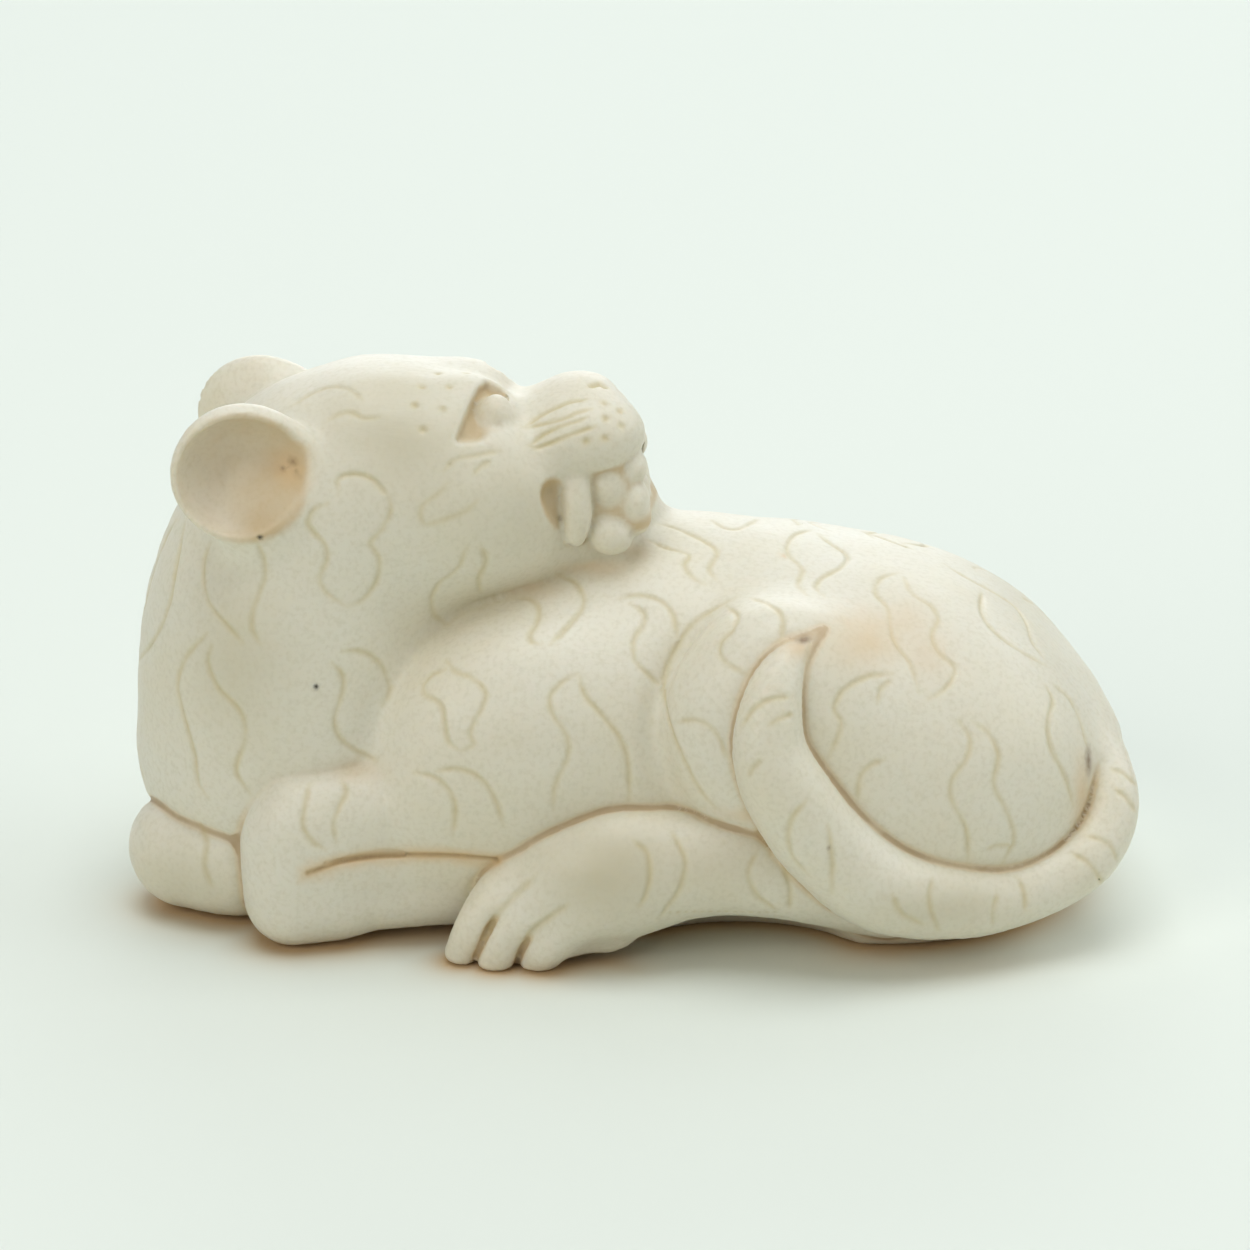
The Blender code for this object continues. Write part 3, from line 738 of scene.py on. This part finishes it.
TOE_GROOVES = (
    ((533, 878), (519, 891), (508, 903), (498, 915), (491, 926), (485, 938)),
    ((568, 905), (553, 915), (540, 925), (531, 934), (525, 943)),
)
PALM = ((310, 873), (329, 866), (347, 860), (387, 855), (443, 855), (475, 857), (497, 859))
SPECKS = ((318, 687), (262, 538))
TICKS = tuple((x, 912) for x in range(662, 776, 8))
HAIRLINE = ((984, 850), (995, 846), (1009, 845))

# %% [markdown]
# ## Cutting the grooves
#
# A graver leaves a rounded furrow, deep in its middle and running out at both ends. The skin has to
# be finer than the furrow to hold it, so only the edges near a mark are split, twice. Then every
# point near a mark sinks along its normal, by an amount that falls off with the distance from the
# line. The same fall-off says how much brown the point keeps.

# %% Following the rays
FIGURE_REACH = 45
RAY_STEPS = 90
MET = 0.02


def strike(pixels, azimuth=0):
    """Where the rays through these pixels first meet the figure, and which of them do."""
    place, forward, sideways, upward = camera_frame(azimuth)
    offset = (np.array(pixels, float) - PICTURE / 2) / (PIXELS_PER_UNIT * LENS_AWAY)
    rays = forward + offset[:, :1] * sideways - offset[:, 1:] * upward
    rays /= np.linalg.norm(rays, axis=1)[:, None]
    far = np.full(len(rays), LENS_AWAY - FIGURE_REACH)
    for _ in range(RAY_STEPS):
        gap = tiger(place + rays * far[:, None])
        far += np.clip(gap * 0.85, -0.3, 4)
    return place + rays * far[:, None], (np.abs(gap) < MET) & (far < LENS_AWAY + FIGURE_REACH)


# %% Kinds of cut, and the lines they follow
# Each kind has its width and depth, and how much ochre, dark dirt and rust lies in it.
CUTS = {
    "stripe": (0.16, 0.095, 0.42, 0, 0),
    "faint": (0.16, 0.07, 0.32, 0, 0),
    "palm": (0.13, 0.1, 0.7, 0.4, 0.7),
    "toe": (0.2, 0.18, 0.35, 0, 0),
    "whisker": (0.14, 0.1, 0.6, 0, 0),
    "dot": (0.2, 0.1, 0.5, 0, 0),
    "nostril": (0.2, 0.2, 0.6, 0, 0),
    "tick": (0.11, 0.03, 0.35, 0, 0),
    "speck": (0.12, 0.03, 0, 0, 0),
}
LINE_STEP = 1.4
PLACE_STEP = 0.08
HIDDEN_SIDE = 3.0
RUN_OUT = 0.12
ENDS_AT = 0.15
PRESSED = 0.85
PRESSURE_SWING = 0.6


def line_pixels(marks):
    """Evenly spaced pixels along a smooth curve through the marks."""
    fine = curve_through(marks, 12)
    lengths = np.r_[0, np.cumsum(np.linalg.norm(np.diff(fine, axis=0), axis=1))]
    at = np.linspace(0, lengths[-1], max(int(lengths[-1] / LINE_STEP), 2))
    return np.column_stack([np.interp(at, lengths, fine[:, axis]) for axis in (0, 1)])


def even_places(places):
    """The same line with its places evenly spaced over the figure, also where the ray grazes it."""
    lengths = np.r_[0, np.cumsum(np.linalg.norm(np.diff(places, axis=0), axis=1))]
    at = np.linspace(0, lengths[-1], max(int(lengths[-1] / PLACE_STEP), 2))
    return np.column_stack([np.interp(at, lengths, places[:, axis]) for axis in (0, 1, 2)])


class Cutter:
    """Collects the lines and dots to cut, and finds their places on the figure."""

    def __init__(self):
        self.marks = []
        self.rows = []

    def lines(self, group, kind):
        self.marks += [(kind, line_pixels(marks)) for marks in group]

    def dots(self, group, kind):
        self.marks += [(kind, np.array([mark], float)) for mark in group]

    def strike_from(self, azimuth, hidden=False):
        """Gives every mark collected so far its places. Marks of the hidden side are mirrored onto it."""
        pixels = np.vstack([pixels for _, pixels in self.marks])
        if hidden:
            pixels[:, 0] = PICTURE - pixels[:, 0]
        places, hit = strike(pixels, azimuth)
        if hidden:
            hit &= places[:, 1] > HIDDEN_SIDE
        ends = np.cumsum([len(pixels) for _, pixels in self.marks])
        for (kind, _), end, start in zip(self.marks, ends, np.r_[0, ends]):
            here = places[start:end][hit[start:end]]
            if len(here) > 1:
                here = even_places(here)
            self.keep(kind, here)
        self.marks = []

    def keep(self, kind, here):
        """Keeps a cut's places. It is fainter where it runs out and where the hand pressed less."""
        width, depth, ink, dirt, rust = CUTS[kind]
        strength = np.ones(len(here))
        if len(here) > 1 and kind != "palm":
            along = np.linspace(0, 1, len(here))
            wander = np.array([noise.noise(place * 0.7) for place in here])
            ends = np.clip(np.minimum(along, 1 - along) / RUN_OUT, ENDS_AT, 1)
            strength = np.clip(ends * (PRESSED + PRESSURE_SWING * wander), 0.1, 1)
        values = (
            width * (0.7 + 0.3 * strength),
            depth * strength,
            ink * (0.4 + 0.6 * strength),
            dirt * strength,
            rust * strength,
            np.full(len(here), kind == "speck"),
        )
        self.rows.append(np.column_stack([here, *values]))

    def gather(self):
        table = np.vstack(self.rows)
        self.places = settle(table[:, :3], rounds=1)
        self.widths, self.depths, self.inks, self.dirts, self.rusts, self.specks = table[:, 3:].T
        self.tree = KDTree(len(table))
        for index, place in enumerate(self.places):
            self.tree.insert(place, index)
        self.tree.balance()

    def nearest(self, points):
        """The nearest cut of each point, and how far off it is."""
        found = [self.tree.find(point)[1:] for point in points]
        return np.array([index for index, _ in found]), np.array([far for _, far in found])


def leaf(across, top, bottom, width=26, sway=8):
    """Both edges of a plain upright stripe, for the sides that the photograph doesn't show."""
    share = np.linspace(0, 1, 6)
    middle = across + sway * np.sin(5 * share)
    heights = top + (bottom - top) * share
    bulge = width / 2 * np.sin(math.pi * share)
    return [np.column_stack([middle + side * bulge, heights]) for side in (-1, 1)]


def leaves(*stripes):
    return [edge for stripe in stripes for edge in leaf(*stripe)]


CHEST_STRIPES = leaves((470, 720, 840), (522, 700, 850), (578, 720, 860))
RUMP_STRIPES = leaves((700, 800, 880), (745, 790, 885))
FAR_SIDE_LEFT_OUT = (
    "throat", "jaw", "knee arc", "knee crease", "thigh crescent", "thigh hook",
    "shoulder", "nape edge", "loin",
)

cutter = Cutter()
for group in (NECK_STRIPES, FLANK_STRIPES, LEG_STRIPES):
    cutter.lines(group.values(), "stripe")
cutter.lines(TAIL_BANDS, "stripe")
cutter.lines(FACE_STRIPES.values(), "faint")
cutter.lines([PALM], "palm")
cutter.lines(TOE_GROOVES, "toe")
cutter.lines(WHISKERS, "whisker")
cutter.lines([NOSTRIL], "nostril")
cutter.dots(BROW_DOTS + WHISKER_DOTS, "dot")
cutter.dots(SPECKS, "speck")
cutter.dots(TICKS, "tick")
cutter.lines([HAIRLINE], "faint")
cutter.strike_from(0)
far_side = {**NECK_STRIPES, **FLANK_STRIPES, "foot rear": LEG_STRIPES["foot rear"]}
cutter.lines([m for name, m in far_side.items() if not name.startswith(FAR_SIDE_LEFT_OUT)], "stripe")
cutter.lines(WHISKERS, "whisker")
cutter.lines([NOSTRIL], "nostril")
cutter.dots(BROW_DOTS + WHISKER_DOTS, "dot")
cutter.lines(FACE_STRIPES.values(), "faint")
cutter.strike_from(180, hidden=True)
cutter.lines(CHEST_STRIPES, "stripe")
cutter.strike_from(-90)
cutter.lines(RUMP_STRIPES, "stripe")
cutter.strike_from(90)
cutter.gather()
print("cuts:", len(cutter.places), "places along them")

# %% Splitting the skin near the cuts
FINE_ENOUGH = 0.13
MARGINS = (0.4, 0.25)
CREASED = 0.15

bm = bmesh.new()
bm.from_mesh(skin)
bmesh.ops.triangulate(bm, faces=bm.faces)
creases = bm.verts.layers.float["hollows"]
for margin in MARGINS:
    split = []
    for edge in bm.edges:
        a, b = edge.verts
        if (a.co - b.co).length > FINE_ENOUGH:
            middle = (a.co + b.co) / 2
            if a[creases] + b[creases] > 2 * CREASED or cutter.tree.find(middle)[2] < margin:
                split.append(edge)
    bmesh.ops.subdivide_edges(bm, edges=split, cuts=1)
    bmesh.ops.triangulate(bm, faces=[face for face in bm.faces if len(face.verts) > 3])
bm.to_mesh(skin)
bm.free()
skin = mesh_through(skin, "SMOOTH", factor=0.4, iterations=1)
put_points(skin, settle(points_of(skin), rounds=2))
print("split skin:", len(skin.vertices), "points,", len(skin.polygons), "triangles")

# %% Stains, dirt, and patches of patina and painted shade
RUST_STAINS = (
    ((868, 636), (2.8, 3, 1.3), 0.5),
    ((925, 652), (1.5, 2, 1.5), 0.3),
    ((905, 622), (1.6, 2, 1.2), 0.35),
    ((845, 650), (1.2, 2, 1), 0.3),
    ((291, 467), (1, 1.5, 0.9), 0.8),
    ((1080, 795), (0.5, 1, 2.5), 0.5),
    ((800, 648), (1, 1, 0.6), 0.5),
    ((636, 552), (0.7, 1, 0.3), 0.3),
    ((590, 567), (1.8, 1.2, 0.35), 0.4),
    ((530, 588), (1.8, 1.2, 0.35), 0.3),
    ((745, 815), (1.5, 1.5, 0.5), 0.4),
    ((360, 768), (1.5, 1.5, 0.5), 0.3),
    ((480, 862), (1.2, 1.5, 0.4), 0.5),
    ((783, 556), (0.15, 0.3, 0.15), 0.7),
)
DIRT_SPOTS = (
    ((1086, 760), (0.16, 0.5, 0.7), 0.9),
    ((804, 640), (0.5, 0.5, 0.12), 0.7),
    ((295, 463), (0.22, 0.6, 0.2), 0.6),
    ((298, 473), (0.14, 0.5, 0.12), 0.5),
    ((285, 469), (0.14, 0.5, 0.12), 0.5),
    ((570, 546), (0.14, 0.4, 0.13), 0.5),
    ((560, 519), (0.1, 0.4, 0.16), 0.6),
    ((631, 535), (0.1, 0.4, 0.13), 0.5),
    ((828, 848), (0.1, 0.2, 0.12), 0.6),
)
# Broad darker patches on the forehead, the hind foot, the neck, under the tail, the shank, the far paw and
# the cheek. They are partly aged tone and partly painted shade.
PATINA_AND_SHADE = (
    ((400, 430), (4.2, 4, 3.2), 0.9),
    ((600, 870), (3.4, 3, 3), 1),
    ((235, 665), (3, 3, 4), 0.6),
    ((950, 905), (4.5, 2.5, 1.3), 0.6),
    ((705, 870), (3.6, 2.5, 1.6), 0.5),
    ((185, 880), (2.8, 3, 2), 0.45),
    ((530, 500), (3.6, 3, 3.4), 0.5),
)


def blotches(points, stains):
    """The strongest blotch at each point, from their pixels, reaches along X, Y and Z, and strengths."""
    places = strike([pixel for pixel, _, _ in stains])[0]
    shares = [
        strength * np.exp(-(((points - place) / reach) ** 2).sum(axis=1))
        for place, (_, reach, strength) in zip(places, stains)
    ]
    return np.max(shares, axis=0)


# %% Sinking the cuts, and the slight unevenness of a hand-polished surface
HANDLED = 0.07
GLOWS = 0.45
INK_SPREAD = 1.15

points = points_of(skin)
points[:, 2] = np.maximum(points[:, 2], 0)
index, far = cutter.nearest(points)
fall = np.exp(-((far / cutter.widths[index]) ** 2))
whole_low = points.min(axis=0)
whole_span = points.max(axis=0) - whole_low
handled = [0.5 + 0.5 * noise.noise(point * 0.45) + 0.25 * noise.noise(point * 1.7) for point in points]
worn = cutter.depths[index] * fall + HANDLED * np.clip(handled, 0, 1)
points -= points_of(skin, "normals") * worn[:, None]
points[:, 2] = np.maximum(points[:, 2], 0)
keep_on_points(skin, "seams", np.clip(seams(points_of(skin)), 0, 1.5))
keep_on_points(skin, "warm", pocket_tint_and_shade(points_of(skin)))
glow = np.exp(-((far / GLOWS) ** 2)) * cutter.rusts[index]
keep_on_points(skin, "rust", np.maximum(blotches(points, RUST_STAINS), glow))
keep_on_points(skin, "patina_and_painted_shade", blotches(points, PATINA_AND_SHADE))
keep_on_points(skin, "dirt", np.maximum(blotches(points, DIRT_SPOTS), fall * cutter.dirts[index]))
speck = cutter.specks[index] > 0
inked = np.exp(-((far / cutter.widths[index] / INK_SPREAD) ** 2)) * cutter.inks[index]
keep_on_points(skin, "ink", np.where(speck, 0, inked))
keep_on_points(skin, "speck", np.where(speck, np.clip(1.6 * fall, 0, 1), 0))
print("figure span", whole_span.round(3), "from", whole_low.round(3))

# %% Giving back the triangles that flat places don't need
MOST_TRIANGLES = 190000

put_points(skin, points)
if len(skin.polygons) > MOST_TRIANGLES:
    skin = mesh_through(skin, "DECIMATE", decimate_type="COLLAPSE", ratio=MOST_TRIANGLES / len(skin.polygons))
points = points_of(skin)
print("lighter skin:", len(skin.polygons), "triangles")

# %% [markdown]
# ## Back to metres
#
# The forms are in figure units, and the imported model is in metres. The uncut skin fills exactly the
# solid's box, so one stretch along each axis brings both the figure and the camera to the same place.

# %% The finished piece
box_low, box_high = np.array(CAD_BOX[0]), np.array(CAD_BOX[1])
TO_METRES = (box_high - box_low) / whole_span


def in_metres(place):
    return (np.array(place) - whole_low) * TO_METRES + box_low


put_points(skin, in_metres(points))
skin.shade_smooth()
carving = in_scene("tiger_carving", skin)
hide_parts(NODE)
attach(carving, "root")
print("carving:", len(skin.polygons), "triangles")

# %% [markdown]
# ## Ivory
#
# Polished ivory is a warm cream. Light goes a little way into it, so its shadows glow. Old brown
# sits in the cuts and the creases, there are a few stains, and a fine grain shows in the gloss. The
# colour of the creases, of the pockets and of a few broad patches also holds painted shade.
# A shader is written here as sums and products of sockets, which reads better than a list of nodes.


# %% Shader sums
class Socket:
    """An output of a node. Sums and products of it add Math nodes."""

    def __init__(self, finish, output):
        self.finish = finish
        self.output = output

    def math(self, operation, first, second):
        return self.finish.node("ShaderNodeMath", {"operation": operation}, {0: first, 1: second})

    def __add__(self, other):
        return self.math("ADD", self, other)

    def __mul__(self, other):
        return self.math("MULTIPLY", self, other)

    __radd__ = __add__
    __rmul__ = __mul__


class Finish:
    """A material under construction."""

    def __init__(self, name):
        self.material = bpy.data.materials.new(name)
        self.material.use_nodes = True
        self.tree = self.material.node_tree
        self.shader = self.tree.nodes["Principled BSDF"]
        self.place = self.node("ShaderNodeTexCoord", out="Object")

    def node(self, kind, settings=None, sockets=None, out=0):
        made = self.tree.nodes.new(kind)
        for name, value in (settings or {}).items():
            setattr(made, name, value)
        for name, value in (sockets or {}).items():
            self.feed(made.inputs[name], value)
        return Socket(self, made.outputs[out])

    def feed(self, socket, value):
        if isinstance(value, Socket):
            self.tree.links.new(value.output, socket)
        else:
            socket.default_value = value

    def set(self, **values):
        """Sets the shader's own sockets, with underscores for the spaces in their names."""
        for name, value in values.items():
            self.feed(self.shader.inputs[name.replace("_", " ")], value)

    def kept(self, name):
        return self.node("ShaderNodeAttribute", {"attribute_name": name}, out="Fac")

    def ramp(self, value, low, high):
        """Nothing where the value is low, and one where it is high."""
        made = self.node("ShaderNodeValToRGB", None, {"Fac": value})
        for element, position in zip(made.output.node.color_ramp.elements, (low, high)):
            element.position = position
        return made

    def mix(self, factor, a, b):
        settings = {"data_type": "RGBA"}
        return self.node("ShaderNodeMix", settings, {"Factor": factor, 6: a, 7: b}, out=2)

    def cloud(self, scale, detail=3, place=None):
        sockets = {"Vector": place or self.place, "Scale": scale, "Detail": detail}
        return self.node("ShaderNodeTexNoise", None, sockets, out="Fac")

    def stretched(self, *scale):
        return self.node("ShaderNodeMapping", None, {"Vector": self.place, "Scale": scale})


def from_screen(red, green, blue):
    """A colour read off the picture, from 0 to 255, as the light it stands for."""
    return tuple(((c / 255 + 0.055) / 1.055) ** 2.4 for c in (red, green, blue)) + (1,)


# %% The ivory's colour, gloss and grain
CREAM = from_screen(225, 220, 203)
WARM_CREAM = from_screen(220, 211, 184)
AGED_AND_SHADED = from_screen(200, 192, 165)
BROWN = from_screen(160, 128, 84)
DARK_BROWN = from_screen(104, 68, 32)
OCHRE = from_screen(194, 176, 112)
TAN = from_screen(192, 162, 110)
GLOW = from_screen(214, 180, 124)
RUST = from_screen(214, 182, 134)

ivory = Finish("ivory")
mottle = ivory.ramp(ivory.cloud(160, 4), 0.35, 0.7)
colour = ivory.mix(mottle * 0.5, CREAM, WARM_CREAM)
fleck = ivory.ramp(ivory.cloud(3500, 2), 0.45, 0.75)
colour = ivory.mix(fleck * 0.35, colour, AGED_AND_SHADED)
# Partly aged tone and partly painted shade: the darker patches are mixed towards the aged colour.
colour = ivory.mix(ivory.kept("patina_and_painted_shade") * (0.7 + 0.5 * ivory.cloud(260)), colour, AGED_AND_SHADED)
# Brown and painted shade together: the hollows are tinted ochre for the brown rubbed into them and for the
# shade that falls in them.
hollow_brown_and_shade = ivory.ramp(ivory.kept("hollows") * (0.6 + 0.8 * ivory.cloud(700)), 0.12, 0.9)
colour = ivory.mix(hollow_brown_and_shade * 0.3, colour, OCHRE)
# Along the seams the colour turns warm and then brown. Part of this is the brown that sits in the joints, and
# part is painted shade in the creases.
seam_share = ivory.kept("seams")
seam_halo_and_shade = ivory.ramp(seam_share, 0.3, 0.95)
colour = ivory.mix(seam_halo_and_shade * 0.35, colour, GLOW)
seam_brown_and_shade = ivory.ramp(seam_share * (0.6 + 0.8 * ivory.cloud(400)), 0.8, 1.15)
colour = ivory.mix(seam_brown_and_shade * 0.5, colour, BROWN)
# The tan in the pockets of the eyes, the mouth and the ears is partly brown that has stayed there and partly
# painted shade.
colour = ivory.mix(ivory.kept("warm") * (0.3 + 0.8 * ivory.cloud(350)), colour, TAN)
ink = ivory.kept("ink") * (0.6 + 0.7 * ivory.cloud(500, 2))
colour = ivory.mix(ink, colour, OCHRE)
colour = ivory.mix(ivory.kept("rust") * (0.4 + 1.2 * ivory.cloud(450, 4)), colour, RUST)
colour = ivory.mix(ivory.kept("dirt") * (0.4 + 1.2 * ivory.cloud(1500)), colour, DARK_BROWN)
colour = ivory.mix(ivory.kept("speck"), colour, from_screen(30, 26, 20))

fine_grain = ivory.cloud(2600, 4, ivory.stretched(0.35, 1, 1))
grain = fine_grain + 0.8 * ivory.cloud(1100, 3, ivory.stretched(0.4, 1, 1))
ivory.set(
    Base_Color=colour,
    Roughness=0.36 + 0.1 * grain + 0.2 * hollow_brown_and_shade,
    Subsurface_Weight=0.25,
    Subsurface_Radius=(1.0, 0.7, 0.45),
    Subsurface_Scale=0.0012,
    Normal=ivory.node("ShaderNodeBump", None, {"Strength": 0.25, "Distance": 0.00006, "Height": grain}),
)
skin.materials.clear()
skin.materials.append(ivory.material)
print("ivory:", len(ivory.tree.nodes), "nodes")

# %% [markdown]
# ## Floor, light and camera
#
# The piece was photographed in soft light on a pale sheet. Broad lamps stand all round it here, the
# strongest overhead, so its back is bright and its near flank a little shaded. Round the figure's foot
# the floor is painted a darker warm brown, a painted contact shadow with painted warm bounce light in
# it. The floor is so wide that the picture sees nothing else.

# %% A pale floor, with a painted shadow round the figure
FLOOR = from_screen(225, 230, 220)
# Painted shade: near the figure the floor is mixed towards this darker warm brown, which stands for its
# contact shadow and the warm light that the ivory throws back.
PAINTED_FLOOR_SHADE = from_screen(200, 172, 132)
FLOOR_REACH = 2.0
PAINTED_SHADE_PATCH = 0.042
PAINTED_SHADE_CELLS = 240
PAINTED_SHADE_WIDTH = 0.9

bm = bmesh.new()
bmesh.ops.create_grid(bm, x_segments=PAINTED_SHADE_CELLS, y_segments=PAINTED_SHADE_CELLS, size=PAINTED_SHADE_PATCH)
rim = bmesh.ops.extrude_edge_only(bm, edges=[edge for edge in bm.edges if edge.is_boundary])
outer = [piece for piece in rim["geom"] if isinstance(piece, bmesh.types.BMVert)]
bmesh.ops.scale(bm, vec=(FLOOR_REACH / PAINTED_SHADE_PATCH, FLOOR_REACH / PAINTED_SHADE_PATCH, 1), verts=outer)
bmesh.ops.recalc_face_normals(bm, faces=bm.faces)
sheet = bpy.data.meshes.new("floor")
bm.to_mesh(sheet)
bm.free()
floor_places = (points_of(sheet) - box_low) / TO_METRES + whole_low
floor_places[:, 2] = PAINTED_SHADE_WIDTH / 2
# The glow share is painted shadow. It is one right under the figure and falls off with the distance from it.
keep_on_points(sheet, "glow", np.exp(-np.maximum(tiger(floor_places), 0) / PAINTED_SHADE_WIDTH))
floor = in_scene("floor", sheet)
paper = Finish("paper")
paper.set(Base_Color=paper.mix(paper.kept("glow"), FLOOR, PAINTED_FLOOR_SHADE), Roughness=0.9)
sheet.materials.append(paper.material)

# %% Soft light
SKY = (0.93, 0.96, 0.93, 1)
SKY_STRENGTH = 0.02
LAMP_WIDTH = 0.6
LAMPS_FACE = Vector((0, 0, 0.01))
COOL = (0.92, 0.965, 1.0)
WARM = (1.0, 0.98, 0.94)
world = bpy.data.worlds.new("studio")
world.use_nodes = True
background = world.node_tree.nodes["Background"].inputs
background["Color"].default_value = SKY
background["Strength"].default_value = SKY_STRENGTH
bpy.context.scene.world = world


def hang_lamp(name, place, power, colour):
    """A square soft lamp that faces the middle of the figure."""
    lamp = bpy.data.lights.new(name, "AREA")
    lamp.size = LAMP_WIDTH
    lamp.energy = power
    lamp.color = colour
    holder = in_scene(name, lamp)
    holder.location = place
    holder.rotation_euler = (LAMPS_FACE - Vector(place)).to_track_quat("-Z", "Y").to_euler()


LAMPS = {
    "above": ((0, 0, 0.9), 4.5, COOL),
    "front left": ((-0.6, -0.6, 0.5), 3.45, WARM),
    "right": ((0.8, 0, 0.5), 2.9, COOL),
    "low behind": ((0, 0.95, 0.3), 2.85, COOL),
    "behind right": ((0.5, 0.55, 0.6), 1.7, COOL),
    "behind left": ((-0.5, 0.55, 0.6), 1.1, COOL),
    "front right": ((0.6, -0.6, 0.5), 0.8, WARM),
    "front": ((0, -0.8, 0.5), 0.5, WARM),
    "behind": ((0, 0.7, 0.7), 0.4, COOL),
}
for name, (place, power, tint) in LAMPS.items():
    hang_lamp(name, place, power, tint)

# %% The camera
lens = bpy.data.cameras.new("camera")
lens.sensor_width = 36.0
lens.lens = lens.sensor_width * PIXELS_PER_UNIT * LENS_AWAY / PICTURE
lens.clip_start = 0.01
lens.clip_end = 20.0
camera = in_scene("camera", lens)
forward = camera_frame(0)[1]
camera.location = in_metres(TARGET) - forward * LENS_AWAY * UNIT
camera.rotation_euler = Vector(forward).to_track_quat("-Z", "Y").to_euler()
bpy.context.scene.camera = camera
bpy.context.scene.view_settings.view_transform = "Standard"
